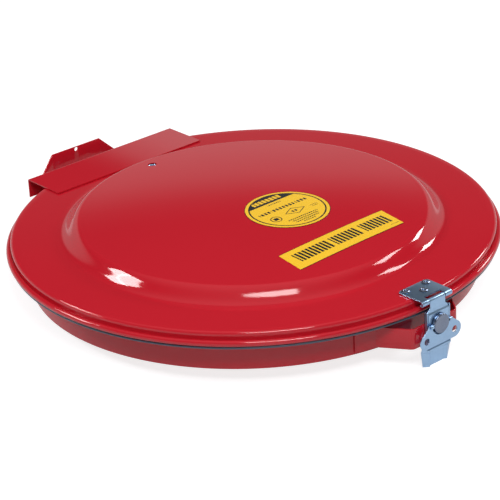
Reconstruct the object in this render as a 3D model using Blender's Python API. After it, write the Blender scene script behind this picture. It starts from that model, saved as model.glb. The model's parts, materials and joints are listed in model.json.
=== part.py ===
"""Hinged safety cover for a 200 litre open-head steel drum.

Run it in Blender: blender --background --python part.py
A split ring clamps round the drum's rolled rim and carries a hinge and a rotary draw latch.
A domed steel lid with a rubber gasket closes on the drum and is pulled down by the latch.
Sizes are in millimetres and become metres when a mesh is made. +Z is up, the hinge is at +Y.
Every height below is measured from the flat top of the lid's brim.
"""
import math

import bmesh
import bpy
from mathutils import Vector

MM = 0.001

# --- the drum and the clamp ring -------------------------------------------------------------
DRUM_CURL_R = 299.0          # outside of the drum's rolled rim
BAND_CLEARANCE = 2.5         # slack before the ring is drawn tight
BAND_SHEET = 1.5
BAND_TOP = -22.0
BAND_BOTTOM = -62.0
BAND_SPLIT = 5.0             # half of the gap between the ring's two ends
TAB_LENGTH = 22.0            # each end is turned outwards by this much
TAB_TOP = -30.0
BOLT_R = 4.0
BOLT_HEAD_R = 7.5
BOLT_HEAD_HEIGHT = 5.3
BOLT_SPARE = 9.0             # thread left past the nut
TOUCH = 0.35                 # gap between pieces that are welded, glued or riveted together

# --- the lid ---------------------------------------------------------------------------------
RIM_OVERHANG = 22.0          # brim beyond the ring
LID_SHEET = 1.2
BRIM_WIDTH = 67.0            # flat ring between the rim and the dome
SHOULDER_RUN = 26.0          # horizontal length of the step up to the dome
DOME_STEP = 17.9             # height of that step
CROWN_RISE = 7.0             # the dome's middle above its edge
RIM_ROUND = 4.0              # radius of the brim's outer edge
BEAD_R = 4.0                 # rolled hem
BEAD_PROUD = 6.4             # hem beyond the brim's edge
BEAD_DROP = 13.8             # hem's middle below the brim
GASKET_TOP = -18.15
GASKET_SEAL = -21.3          # underside, which meets the drum
GASKET_GROOVE = 0.6          # moulded groove between the sealing face and the lip
GASKET_GROOVE_WIDTH = 2.0
GASKET_LIP_IN = 2.4          # lip's edge inside the hem's outside
GASKET_BODY_IN = 15.0        # inner face inside the drum curl's outside
GASKET_BODY_WIDTH = 15.0
VENT_R = 6.1
VENT_Y = 213.0
BUSHING_R = 9.5
BUSHING_BORE_R = 4.7
BUSHING_DEPTH = 6.0

# --- printed films ---------------------------------------------------------------------------
FILM = 0.3
FILM_GAP = 0.4
ROUND_FILM_R = 57.0
ROUND_FILM_AT = (17.0, -51.8)
STRIP_FILM_SIZE = (187.0, 49.5)
STRIP_FILM_AT = (7.6, -166.0)
STRIP_FILM_TURN = 1.0        # degrees

# --- the hinge -------------------------------------------------------------------------------
PLATE_WIDTH = 259.6
PLATE_DEPTH = 72.5
PLATE_SHEET = 2.0
PLATE_PAST_RIM = 11.1        # plate's rear edge beyond the brim
FLANGE_SHEET = 1.7
FLANGE_BOTTOM = -25.5
HINGE_DROP = 10.0            # pin below the brim
PIN_TO_FLANGE = 5.2          # pin's axis to the flange's inner face
HINGE_OFFSET = 84.0          # each pin's middle from the centre line
LUG_SHEET = 3.2
LUG_EYE_R = 4.5
LUG_TOP = -31.0
LUG_BOTTOM = -56.0
CLEVIS_SHEET = 1.5
CLEVIS_GAP = 0.5             # clevis to lug
PIN_R = 2.0
PIN_CLEARANCE = 0.32

# --- the two brackets ------------------------------------------------------------------------
STRAP_SHEET = 2.0
REAR_REACH = 68.8            # rear wall behind the hinge pin
REAR_WALL_HALF = 43.5
REAR_WALL_TOP = -4.7
REAR_STRAP_TOP = -33.0
REAR_STRAP_BOTTOM = -58.0
REAR_FOLD_HALF = 72.0
REAR_FOLD_STEP = 7.0         # the wall's outer parts fold forward by this much
REAR_FOOT_HALF = 104.0       # where the legs meet the ring
LINK_HOLE_R = 3.2
LINK_HOLE_DROP = 4.0         # below the wall's top edge
FRONT_TOP_OVER_HUB = 1.8        # bracket's top edge above the latch spindle's middle
FRONT_BOTTOM = -59.0
FRONT_FACE_HALF = 38.0
FRONT_FOOT_HALF = 65.0
FRONT_ROUND = 8.0
FOOT_ANGLE = 5.5             # degrees of ring that each foot covers

# --- the latch -------------------------------------------------------------------------------
RIM_TO_LATCH = 5.6           # bracket's face outside the hem
KEEPER_WIDTH = 51.6
KEEPER_SHEET = 2.0
KEEPER_BACK = 40.3           # keeper's rear edge behind its bar
KEEPER_UNDER = 0.4
SLOT_HALF = 13.9
SLOT_BACK = 7.7              # slot's rear edge behind the bar
BAR_R = 1.6
BAR_OUT = 1.2                # bar outside the bracket's face
BAR_DROP = 1.2
KNUCKLE_R = 2.9              # middle of the curled sheet
LINK_SHEET = 1.4
HOOK_R = 2.7                 # middle of the hook's sheet
LINK_HALF = 18.0
LINK_NECK = 0.8              # hook's side to the slot's side
LINK_STEP = 1.5              # link steps outwards at its bend
LINK_SHOULDER = -14.5        # the neck widens over the 4 above this
LINK_BEND = -17.0
LINK_BOTTOM = -56.0
HUB_DROP = 32.8
HEAD_R = 12.8
HEAD_THICK = 5.3
CAM_R = 7.8
CAM_THROW = 3.2              # cam's centre below the hub
CAM_SLACK = 1.2
SPINDLE_R = 3.2
BASE_SHEET = 1.5
BASE_TOP = -14.0
BASE_BOTTOM = -90.0
GUIDE_GAP = 0.7              # link to the base's side walls
GUIDE_DEPTH = 4.6
TAIL_LEDGE = 7.2             # ledge in front of the bracket's face
WING_SHEET = 1.6
WING_GAP = 1.8               # wing in front of the link
WING_CUT_GAP = 2.2           # wing round the head
EAR_OUT = 24.5
EAR_DROP = 17.2              # ear holes below the hub
EAR_R = 10.8
EAR_HOLE_R = 4.8
WING_PIN_R = 1.4
EYE_WALL = 1.1
RIVET_HEAD_R = 5.6
RIVET_SHANK_R = 2.4
RIVET_AT = ((-17.8, 6.2), (17.8, 6.2), (0.0, 19.6))
BASE_RIVET_AT = ((-14.6, -38.5), (14.6, -38.5), (-13.0, -53.0), (13.0, -53.0))
BASE_RIVET_HEAD_R = 3.0
BASE_RIVET_SHANK_R = 1.6

RING_STEPS = 72
BORE_STEPS = 16

# --- sizes that follow -----------------------------------------------------------------------
FRONT_TOP = FRONT_TOP_OVER_HUB - HUB_DROP
BAND_IN = DRUM_CURL_R + BAND_CLEARANCE
BAND_OUT = BAND_IN + BAND_SHEET
BRIM_R = BAND_OUT + RIM_OVERHANG
BEAD_OUT = BRIM_R + BEAD_PROUD
DOME_BASE_R = BRIM_R - BRIM_WIDTH
DOME_CREST_R = DOME_BASE_R - SHOULDER_RUN
PLATE_REAR = BRIM_R + PLATE_PAST_RIM
HINGE_Y = PLATE_REAR - FLANGE_SHEET - PIN_TO_FLANGE
FACE_OUT = BEAD_OUT + RIM_TO_LATCH
BAR_AT = FACE_OUT + BAR_OUT
BASE_BACK = FACE_OUT + TOUCH
BASE_FRONT = BASE_BACK + BASE_SHEET
LINK_UPPER = BAR_AT + HOOK_R
LINK_LOWER = LINK_UPPER + LINK_STEP
LINK_FRONT = LINK_LOWER + LINK_SHEET / 2
HEAD_BACK = LINK_FRONT + 0.6
HEAD_FRONT = HEAD_BACK + HEAD_THICK
WING_BACK = LINK_FRONT + WING_GAP
EYE_R = WING_PIN_R + PIN_CLEARANCE + EYE_WALL
WING_AXIS_OUT = (HEAD_BACK + HEAD_FRONT) / 2
FILM_TURN = math.radians(STRIP_FILM_TURN)


# --- materials -------------------------------------------------------------------------------
def finish(name, colour, roughness, metallic=0.0):
    """A Principled material with one colour."""
    made = bpy.data.materials.new(name)
    made.use_nodes = True
    shader = made.node_tree.nodes["Principled BSDF"]
    shader.inputs["Base Color"].default_value = (*colour, 1.0)
    shader.inputs["Roughness"].default_value = roughness
    shader.inputs["Metallic"].default_value = metallic
    made.diffuse_color = (*colour, 1.0)
    return made


# --- meshes ----------------------------------------------------------------------------------
def solid(name, points, faces, material, parent, smooth=30.0):
    """One closed body from points in millimetres, placed under the empty that carries it."""
    mesh = bpy.data.meshes.new(name)
    offset = parent["at"]
    local = [(Vector(p) - Vector(offset)) * MM for p in points]
    mesh.from_pydata(local, [], faces)
    work = bmesh.new()
    work.from_mesh(mesh)
    bmesh.ops.recalc_face_normals(work, faces=work.faces)
    work.to_mesh(mesh)
    work.free()
    mesh.shade_smooth()
    mesh.set_sharp_from_angle(angle=math.radians(smooth))
    mesh.materials.append(material)
    made = bpy.data.objects.new(name, mesh)
    bpy.context.scene.collection.objects.link(made)
    made.parent = parent
    return made


def axis(name, at, parent=None):
    """An empty on a joint's axis. Its place in millimetres is kept for the pieces it carries."""
    empty = bpy.data.objects.new(name, None)
    bpy.context.scene.collection.objects.link(empty)
    above = Vector((0.0, 0.0, 0.0)) if parent is None else Vector(parent["at"])
    empty.location = (Vector(at) - above) * MM
    empty.parent = parent
    empty["at"] = at
    return empty


def turned(name, section, material, parent, middle=(0.0, 0.0, 0.0), steps=RING_STEPS, along="z"):
    """Turn a section of (radius, height) points about a line through middle, along x, y or z.

    A section that starts and ends on the line makes a full body, any other closed section a ring.
    """
    points = []
    rings = []
    for radius, height in section:
        count = 1 if radius < 1e-6 else steps
        rings.append(range(len(points), len(points) + count))
        for i in range(count):
            angle = math.tau * i / steps
            points.append(about(radius, angle, height, middle, along))
    full = section[0][0] < 1e-6
    pairs = list(zip(rings, rings[1:]))
    if not full:
        pairs.append((rings[-1], rings[0]))
    faces = []
    for lower, upper in pairs:
        for i in range(steps):
            j = (i + 1) % steps
            corners = [lower[i % len(lower)], lower[j % len(lower)]]
            corners += [upper[j % len(upper)], upper[i % len(upper)]]
            faces.append(list(dict.fromkeys(corners)))
    return solid(name, points, [f for f in faces if len(f) > 2], material, parent)


def about(radius, angle, height, middle, along):
    """A point at a radius, an angle and a height about a line through middle."""
    u = radius * math.cos(angle)
    v = radius * math.sin(angle)
    x, y, z = middle
    if along == "z":
        return (x + u, y + v, z + height)
    if along == "y":
        return (x + u, y - height, z + v)
    return (x + height, y + u, z + v)


def miters(path, thickness):
    """Both sides of a centre line that has the given thickness, mitred at each corner."""
    left = []
    right = []
    for i, (x, y) in enumerate(path):
        before = path[max(i - 1, 0)]
        after = path[min(i + 1, len(path) - 1)]
        a = Vector((x - before[0], y - before[1])) if i else None
        b = Vector((after[0] - x, after[1] - y)) if i < len(path) - 1 else None
        a = (a or b).normalized()
        b = (b or a).normalized()
        middle = (a + b).normalized()
        reach = thickness / 2 / max(middle.dot(a), 0.3)
        left.append((x - middle.y * reach, y + middle.x * reach))
        right.append((x + middle.y * reach, y - middle.x * reach))
    return left, right


def strap(name, path, thickness, low, high, material, parent, seen="plan"):
    """A bent strap. Its centre line lies in plan (x, y) or in side view (outwards, z).

    low and high give its two edges at each point: heights in plan, x in side view.
    """
    left, right = miters(path, thickness)
    count = len(path)
    low = low if isinstance(low, list) else [low] * count
    high = high if isinstance(high, list) else [high] * count
    points = []
    for i in range(count):
        for side, edge in ((left, low), (right, low), (right, high), (left, high)):
            a, b = side[i]
            points.append((a, b, edge[i]) if seen == "plan" else (edge[i], -a, b))
    faces = [[3, 2, 1, 0], [4 * count - 4 + k for k in range(4)]]
    for i in range(count - 1):
        for k in range(4):
            m = (k + 1) % 4
            faces.append([4 * i + k, 4 * i + m, 4 * i + 4 + m, 4 * i + 4 + k])
    return solid(name, points, faces, material, parent)


def plate(name, outline, back, front, material, parent, seen="front"):
    """A flat plate: an outline in (x, z) between two depths, or in (y, z) between two x."""
    count = len(outline)
    points = []
    for depth in (back, front):
        for a, b in outline:
            points.append((a, -depth, b) if seen == "front" else (depth, a, b))
    faces = [list(range(count)), list(range(count, 2 * count))]
    for i in range(count):
        j = (i + 1) % count
        faces.append([i, j, count + j, count + i])
    return solid(name, points, faces, material, parent)


def arc(centre, radius, start, end, steps):
    """Points on a round arc, with angles in degrees."""
    found = []
    for i in range(steps + 1):
        angle = math.radians(start + (end - start) * i / steps)
        found.append((centre[0] + radius * math.cos(angle), centre[1] + radius * math.sin(angle)))
    return found


def rounded(corners, steps=3):
    """A path through (x, y, radius) corners, each rounded by its own radius."""
    found = []
    for i, (x, y, radius) in enumerate(corners):
        if not radius or i in (0, len(corners) - 1):
            found.append((x, y))
            continue
        here = Vector((x, y))
        a = (Vector(corners[i - 1][:2]) - here).normalized()
        b = (Vector(corners[i + 1][:2]) - here).normalized()
        half = a.angle(b) / 2
        middle = here + (a + b).normalized() * radius / math.sin(half)
        first = here + a * radius / math.tan(half)
        last = here + b * radius / math.tan(half)
        start = (first - middle).to_tuple()
        turn = (first - middle).angle_signed(last - middle)
        for k in range(steps + 1):
            angle = -turn * k / steps
            u = start[0] * math.cos(angle) - start[1] * math.sin(angle)
            v = start[0] * math.sin(angle) + start[1] * math.cos(angle)
            found.append((middle.x + u, middle.y + v))
    return found


def shape(target, tool, operation="DIFFERENCE"):
    """Cut a tool out of a piece, or join it on, and hide the tool."""
    change = target.modifiers.new(tool.name, "BOOLEAN")
    change.operation = operation
    change.object = tool
    tool.hide_render = True
    tool.display_type = "WIRE"


def drill(target, middle, radius, length, along, steps=BORE_STEPS):
    """A round hole through a piece, centred on middle."""
    section = [(0.0, -length / 2), (radius, -length / 2), (radius, length / 2), (0.0, length / 2)]
    paint = target.data.materials[0]
    name = f"bore_{len(target.modifiers)}_{target.name}"
    shape(target, turned(name, section, paint, target.parent, middle, steps, along))


def box_cut(target, low, high):
    """Cut a square-sided block out of a piece."""
    paint = target.data.materials[0]
    name = f"notch_{len(target.modifiers)}_{target.name}"
    outline = [(low[0], low[2]), (high[0], low[2]), (high[0], high[2]), (low[0], high[2])]
    shape(target, plate(name, outline, -low[1], -high[1], paint, target.parent))


def rod(name, x_from, x_to, radius, middle, material, parent, steps=12):
    """A round pin that lies along x."""
    section = [(0.0, x_from), (radius, x_from), (radius, x_to), (0.0, x_to)]
    return turned(name, section, material, parent, (0.0, middle[0], middle[1]), steps, "x")


# --- the lid ---------------------------------------------------------------------------------
def dome_height(radius):
    """Height of the lid's top: a shallow crown, a rounded step down, then the flat brim."""
    if radius <= DOME_CREST_R:
        return DOME_STEP + CROWN_RISE * (1.0 - (radius / DOME_CREST_R) ** 2)
    if radius >= DOME_BASE_R:
        return 0.0
    part = (radius - DOME_CREST_R) / SHOULDER_RUN
    return DOME_STEP * (0.5 + 0.5 * math.cos(math.pi * part))


def make_lid(paint, parent):
    """Domed sheet whose rim turns down and ends in a rolled hem."""
    crown = [DOME_CREST_R * i / 4 for i in range(5)]
    shoulder = [DOME_CREST_R + SHOULDER_RUN * i / 6 for i in range(1, 7)]
    top = [(r, dome_height(r)) for r in crown + shoulder]
    edge = arc((BRIM_R - RIM_ROUND, -RIM_ROUND), RIM_ROUND, 90, 0, 3)
    hem = arc((BEAD_OUT - BEAD_R, -BEAD_DROP), BEAD_R, 130, -180, 9)
    inside = [(BRIM_R - LID_SHEET, BEAD_R - BEAD_DROP)]
    inside += arc((BRIM_R - RIM_ROUND, -RIM_ROUND), RIM_ROUND - LID_SHEET, 0, 90, 2)
    under = [(r, dome_height(r) - LID_SHEET) for r in reversed(crown + shoulder)]
    lid = turned("cover_lid", top + edge + hem + inside + under, paint, parent)
    drill(lid, (0.0, VENT_Y, dome_height(VENT_Y)), VENT_R, 12.0, "z")
    for x, back in RIVET_AT:
        at = (x, -(BAR_AT - KEEPER_BACK + back), 0.0)
        drill(lid, at, RIVET_SHANK_R + PIN_CLEARANCE, 12.0, "z", 12)
    return lid


def make_gasket(rubber, parent):
    """Rubber ring: a thick body over the drum's rim, a groove, and a thin lip out to the hem."""
    inside = DRUM_CURL_R - GASKET_BODY_IN
    outside = BEAD_OUT - GASKET_LIP_IN
    body = inside + GASKET_BODY_WIDTH
    lip = body + GASKET_GROOVE_WIDTH
    floor = GASKET_SEAL + GASKET_GROOVE
    section = [(inside, GASKET_SEAL), (body, GASKET_SEAL), (body, floor), (lip, floor)]
    section += [(lip, GASKET_SEAL), (outside, GASKET_SEAL)]
    section += [(outside, GASKET_TOP), (body, GASKET_TOP)]
    section += [(body, -LID_SHEET - TOUCH), (inside, -LID_SHEET - TOUCH)]
    return turned("cover_gasket", section, rubber, parent)


def make_vent_bushing(zinc, parent):
    """Open bush that is welded under the vent hole."""
    top = dome_height(VENT_Y) - LID_SHEET - 1.0
    low = top - BUSHING_DEPTH
    section = [(BUSHING_BORE_R, low), (BUSHING_R, low), (BUSHING_R, top), (BUSHING_BORE_R, top)]
    return turned("vent_bushing", section, zinc, parent, (0.0, VENT_Y, 0.0), 20)


def film_height(x, y):
    """Underside of a printed film that lies on the dome."""
    return dome_height(math.hypot(x, y)) + FILM_GAP


def make_round_film(ink, parent):
    """Round film that follows the dome."""
    steps = 32
    rings = (0.5, 1.0)
    points = []
    for lift in (0.0, FILM):
        x, y = ROUND_FILM_AT
        points.append((x, y, film_height(x, y) + lift))
        for part in rings:
            for i in range(steps):
                angle = math.tau * i / steps
                px = x + ROUND_FILM_R * part * math.cos(angle)
                py = y + ROUND_FILM_R * part * math.sin(angle)
                points.append((px, py, film_height(px, py) + lift))
    layer = 1 + steps * len(rings)
    faces = []
    for base in (0, layer):
        for i in range(steps):
            j = (i + 1) % steps
            faces.append([base, base + 1 + i, base + 1 + j])
            inner = [base + 1 + j, base + 1 + i]
            faces.append(inner + [base + 1 + steps + i, base + 1 + steps + j])
    last = 1 + steps * (len(rings) - 1)
    for i in range(steps):
        j = (i + 1) % steps
        faces.append([last + i, last + j, layer + last + j, layer + last + i])
    return solid("decal_round", points, faces, ink, parent)


def make_strip_film(ink, parent):
    """Long film that follows the dome."""
    columns, rows = 12, 4
    points = []
    for lift in (0.0, FILM):
        for j in range(rows + 1):
            for i in range(columns + 1):
                u = STRIP_FILM_SIZE[0] * (i / columns - 0.5)
                v = STRIP_FILM_SIZE[1] * (j / rows - 0.5)
                x = STRIP_FILM_AT[0] + u * math.cos(FILM_TURN) - v * math.sin(FILM_TURN)
                y = STRIP_FILM_AT[1] + u * math.sin(FILM_TURN) + v * math.cos(FILM_TURN)
                points.append((x, y, film_height(x, y) + lift))
    wide = columns + 1
    layer = wide * (rows + 1)
    faces = []
    for base in (0, layer):
        for j in range(rows):
            for i in range(columns):
                a = base + j * wide + i
                faces.append([a, a + 1, a + 1 + wide, a + wide])
    border = list(range(columns))
    border += [columns + j * wide for j in range(rows)]
    border += [rows * wide + i for i in range(columns, 0, -1)]
    border += [j * wide for j in range(rows, 0, -1)]
    for k, a in enumerate(border):
        b = border[(k + 1) % len(border)]
        faces.append([a, b, b + layer, a + layer])
    return solid("decal_strip", points, faces, ink, parent)


# --- the hinge -------------------------------------------------------------------------------
def make_hinge_plate(paint, parent):
    """Cover plate on the brim, with a flange down its rear that is notched round the lugs."""
    middle = PLATE_SHEET / 2 + KEEPER_UNDER
    front = -(PLATE_REAR - PLATE_DEPTH)
    rear = -(PLATE_REAR - FLANGE_SHEET / 2)
    corners = [(front, middle, 0), (rear, middle, 1.6), (rear, FLANGE_BOTTOM, 0)]
    half = PLATE_WIDTH / 2
    made = strap("hinge_plate", rounded(corners), PLATE_SHEET, -half, half, paint, parent, "side")
    top = -HINGE_DROP + LUG_EYE_R + CLEVIS_GAP
    for side in (-1, 1):
        reach = LUG_SHEET / 2 + CLEVIS_GAP
        low = (side * HINGE_OFFSET - reach, PLATE_REAR - FLANGE_SHEET - 3.0, FLANGE_BOTTOM - 2.0)
        high = (side * HINGE_OFFSET + reach, PLATE_REAR + 3.0, top)
        box_cut(made, low, high)
    return made


def make_clevis(name, side, paint, parent):
    """Two ears under the hinge plate, joined by a bridge, that hold one hinge pin."""
    inner = LUG_SHEET / 2 + CLEVIS_GAP
    outer = inner + CLEVIS_SHEET
    top = KEEPER_UNDER - TOUCH
    bridge = top - CLEVIS_SHEET
    x = side * HINGE_OFFSET
    reach = PIN_TO_FLANGE - TOUCH
    eye = arc((HINGE_Y, -HINGE_DROP), reach, 180, 360, 8)
    outline = [(HINGE_Y - reach, top)] + eye + [(HINGE_Y + reach, top)]
    made = plate(name, outline, x - outer, x + outer, paint, parent, "side")
    low = (x - inner, HINGE_Y - 9.0, -HINGE_DROP - 9.0)
    box_cut(made, low, (x + inner, HINGE_Y + 9.0, bridge))
    drill(made, (x, HINGE_Y, -HINGE_DROP), PIN_R + PIN_CLEARANCE, 20.0, "x", 12)
    return made


def make_hinge_pin(name, side, zinc, parent):
    """Short clevis pin."""
    reach = LUG_SHEET / 2 + CLEVIS_GAP + CLEVIS_SHEET + 1.2
    x = side * HINGE_OFFSET
    at = (HINGE_Y, -HINGE_DROP)
    return rod(name, x - reach, x + reach, PIN_R, at, zinc, parent)


def make_lug(name, side, paint, parent):
    """Upright lug on the ring. It passes under the rim and rises to the hinge pin."""
    x = side * HINGE_OFFSET
    root = math.sqrt((BAND_OUT + TOUCH) ** 2 - (HINGE_OFFSET - LUG_SHEET / 2) ** 2) + 0.3
    eye = arc((HINGE_Y, -HINGE_DROP), LUG_EYE_R, 0, 180, 8)
    outline = [(root, LUG_BOTTOM), (HINGE_Y + LUG_EYE_R - 8.0, LUG_BOTTOM)]
    outline += [(HINGE_Y + LUG_EYE_R, LUG_BOTTOM + 8.0)] + eye
    outline += [(HINGE_Y - LUG_EYE_R, LUG_TOP), (root, LUG_TOP)]
    made = plate(name, outline, x - LUG_SHEET / 2, x + LUG_SHEET / 2, paint, parent, "side")
    drill(made, (x, HINGE_Y, -HINGE_DROP), PIN_R + PIN_CLEARANCE, 12.0, "x", 12)
    return made


# --- the ring and its brackets ---------------------------------------------------------------
def make_band(paint, parent):
    """Split clamp ring whose ends turn outwards for the draw bolt."""
    middle = BAND_IN + BAND_SHEET / 2
    split = math.degrees(math.asin((BAND_SPLIT + BAND_SHEET / 2) / middle))
    path = arc((0.0, 0.0), middle, 90 - split, 90 + split - 360, 96)
    path = [(path[0][0], middle + TAB_LENGTH)] + path + [(path[-1][0], middle + TAB_LENGTH)]
    tops = [TAB_TOP, TAB_TOP] + [BAND_TOP] * (len(path) - 4) + [TAB_TOP, TAB_TOP]
    made = strap("clamp_band", path, BAND_SHEET, BAND_BOTTOM, tops, paint, parent)
    drill(made, bolt_middle(), BOLT_R + PIN_CLEARANCE, 4 * BAND_SPLIT + 10.0, "x", 12)
    return made


def bolt_middle():
    """Where the draw bolt crosses the gap in the ring."""
    return (0.0, BAND_OUT + TAB_LENGTH * 0.55, (TAB_TOP + BAND_BOTTOM) / 2)


def make_bolt(zinc, parent):
    """Hexagon-head draw bolt."""
    face = BAND_SPLIT + BAND_SHEET + TOUCH
    end = face + BOLT_HEAD_HEIGHT + BOLT_SPARE
    x, y, z = bolt_middle()
    hexagon = [(0.0, -face - BOLT_HEAD_HEIGHT), (BOLT_HEAD_R, -face - BOLT_HEAD_HEIGHT)]
    hexagon += [(BOLT_HEAD_R, -face), (0.0, -face)]
    made = turned("band_bolt", hexagon, zinc, parent, (x, y, z), 6, "x")
    section = [(0.0, -face - 1.0), (BOLT_R, -face - 1.0), (BOLT_R, end), (0.0, end)]
    shape(made, turned("bolt_shank", section, zinc, parent, (x, y, z), 12, "x"), "UNION")
    return made


def make_nut(zinc, parent):
    """Hexagon nut on the draw bolt."""
    face = BAND_SPLIT + BAND_SHEET + TOUCH
    section = [(0.0, face), (BOLT_HEAD_R, face)]
    section += [(BOLT_HEAD_R, face + BOLT_HEAD_HEIGHT), (0.0, face + BOLT_HEAD_HEIGHT)]
    made = turned("band_nut", section, zinc, parent, bolt_middle(), 6, "x")
    x, y, z = bolt_middle()
    at = (face + BOLT_HEAD_HEIGHT / 2, y, z)
    drill(made, at, BOLT_R + PIN_CLEARANCE, 3 * BOLT_HEAD_HEIGHT, "x", 12)
    return made


def foot(start_x, side, front):
    """Part of a strap that lies on the ring, from where its leg lands outwards."""
    radius = BAND_OUT + TOUCH + STRAP_SHEET / 2
    first = math.degrees(math.asin(start_x / radius))
    toward = -90 if front else 90
    turn = side if front else -side
    return arc((0.0, 0.0), radius, toward + turn * first, toward + turn * (first + FOOT_ANGLE), 5)


def make_rear_bracket(paint, parent):
    """Hat-shaped strap behind the hinge. Its middle rises to a tongue with sloping shoulders."""
    wall = HINGE_Y + REAR_REACH - STRAP_SHEET / 2
    fold = wall - REAR_FOLD_STEP
    right = foot(REAR_FOOT_HALF, 1, False)
    left = foot(REAR_FOOT_HALF, -1, False)
    path = list(reversed(right)) + [(REAR_FOLD_HALF, fold), (REAR_WALL_HALF, wall)]
    path += [(-REAR_WALL_HALF, wall), (-REAR_FOLD_HALF, fold)] + left
    tops = [REAR_STRAP_TOP] * len(path)
    at = len(right)
    tops[at + 1] = REAR_WALL_TOP
    tops[at + 2] = REAR_WALL_TOP
    name = "rear_bracket"
    made = strap(name, path, STRAP_SHEET, REAR_STRAP_BOTTOM, tops, paint, parent)
    drill(made, (0.0, wall, REAR_WALL_TOP - LINK_HOLE_DROP), LINK_HOLE_R, 12.0, "y")
    return made


def make_front_bracket(paint, parent):
    """Hat-shaped strap that stands off the ring and carries the latch."""
    face = -(FACE_OUT - STRAP_SHEET / 2)
    right = foot(FRONT_FOOT_HALF, 1, True)
    left = foot(FRONT_FOOT_HALF, -1, True)
    first = right[0]
    corners = [(*first, 0), (FRONT_FACE_HALF, face, FRONT_ROUND)]
    corners += [(-FRONT_FACE_HALF, face, FRONT_ROUND), (*left[0], 0)]
    path = list(reversed(right[1:])) + rounded(corners) + left[1:]
    name = "front_bracket"
    made = strap(name, path, STRAP_SHEET, FRONT_BOTTOM, FRONT_TOP, paint, parent)
    for x, z in BASE_RIVET_AT:
        at = (x, -FACE_OUT, z)
        drill(made, at, BASE_RIVET_SHANK_R + PIN_CLEARANCE, 12.0, "y", 10)
    return made


# --- the latch -------------------------------------------------------------------------------
def make_keeper(zinc, parent):
    """Plate on the brim whose front edge curls down into two knuckles beside a slot."""
    level = KEEPER_UNDER + KEEPER_SHEET / 2
    curl = arc((BAR_AT, -BAR_DROP), KNUCKLE_R, 80, -130, 9)
    path = [(BAR_AT - KEEPER_BACK, level), (BAR_AT - 2.0, level)] + curl
    half = KEEPER_WIDTH / 2
    sheet = KEEPER_SHEET * 0.8
    made = strap("latch_keeper", path, sheet, -half, half, zinc, parent, "side")
    low = (-SLOT_HALF, -(BAR_AT + 12.0), -12.0)
    box_cut(made, low, (SLOT_HALF, -(BAR_AT - SLOT_BACK), 8.0))
    for x, back in RIVET_AT:
        at = (x, -(BAR_AT - KEEPER_BACK + back), 0.0)
        drill(made, at, RIVET_SHANK_R + PIN_CLEARANCE, 12.0, "z", 12)
    return made


def make_keeper_rivet(name, x, back, zinc, parent):
    """Blind rivet through the keeper and the lid, with a hollow middle."""
    seat = KEEPER_UNDER + KEEPER_SHEET + TOUCH
    head = seat + 1.5
    tail = -LID_SHEET - TOUCH
    section = [(0.0, head - 1.2), (1.9, head - 1.0), (2.1, head), (3.6, head - 0.1)]
    section += [(RIVET_HEAD_R, seat + 0.4), (RIVET_HEAD_R, seat), (RIVET_SHANK_R, seat)]
    section += [(RIVET_SHANK_R, tail), (RIVET_SHANK_R + 0.6, tail - 0.4)]
    section += [(RIVET_SHANK_R, tail - 2.4), (0.0, tail - 2.4)]
    at = (x, -(BAR_AT - KEEPER_BACK + back), 0.0)
    return turned(name, section, zinc, parent, at, 14)


def base_section(part):
    """Right half of the base's section, as (x, depth): a channel, then a ledge, then a tail."""
    channel = LINK_HALF + GUIDE_GAP + BASE_SHEET / 2
    floor = BASE_BACK + BASE_SHEET / 2
    if part == "channel":
        return [(channel, floor), (channel, floor + GUIDE_DEPTH)]
    if part == "ledge":
        ledge = FACE_OUT + TAIL_LEDGE - BASE_SHEET / 2
        return [(channel, ledge), (channel + 6.5, floor)]
    return [(channel - 4.0, floor + 0.6), (channel + 2.5, floor - 3.0)]


def loft(name, stations, thickness, material, parent):
    """A pressed sheet that runs through several open sections in (x, depth), one per height."""
    points = []
    for z, path in stations:
        left, right = miters(path, thickness)
        points += [(x, -depth, z) for x, depth in left + right[::-1]]
    count = 2 * len(stations[0][1])
    last = count * (len(stations) - 1)
    faces = [list(range(count)), [last + i for i in range(count)]]
    for base in range(0, last, count):
        for i in range(count):
            j = (i + 1) % count
            faces.append([base + i, base + j, base + count + j])
            faces.append([base + i, base + count + j, base + count + i])
    return solid(name, points, faces, material, parent)


def make_base(zinc, parent):
    """Latch base: a channel that guides the link, then a ledge and a tapering tail."""
    stations = []
    heights = ((BASE_TOP, "channel"), (-58.5, "channel"), (-63.6, "ledge"), (-68.0, "ledge"))
    for z, part in (*heights, (BASE_BOTTOM, "tail")):
        half = base_section(part)
        stations.append((z, [(-x, depth) for x, depth in reversed(half)] + half))
    made = loft("latch_base", stations, BASE_SHEET, zinc, parent)
    drill(made, (0.0, -BASE_BACK, -HUB_DROP), SPINDLE_R + PIN_CLEARANCE, 8.0, "y")
    for x, z in BASE_RIVET_AT:
        at = (x, -BASE_BACK, z)
        drill(made, at, BASE_RIVET_SHANK_R + PIN_CLEARANCE, 8.0, "y", 10)
    return made


def make_base_rivet(name, x, z, zinc, parent):
    """Rivet that holds the base on the bracket."""
    seat = BASE_FRONT + TOUCH
    back = FACE_OUT - STRAP_SHEET - TOUCH
    head = seat + 1.0
    section = [(0.0, head), (BASE_RIVET_HEAD_R - 1.0, head), (BASE_RIVET_HEAD_R, seat)]
    section += [(BASE_RIVET_SHANK_R, seat), (BASE_RIVET_SHANK_R, back)]
    section += [(BASE_RIVET_SHANK_R + 0.9, back), (BASE_RIVET_SHANK_R + 0.9, back - 1.0)]
    section += [(0.0, back - 1.0)]
    return turned(name, section, zinc, parent, (x, 0.0, z), 10, "y")


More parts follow.
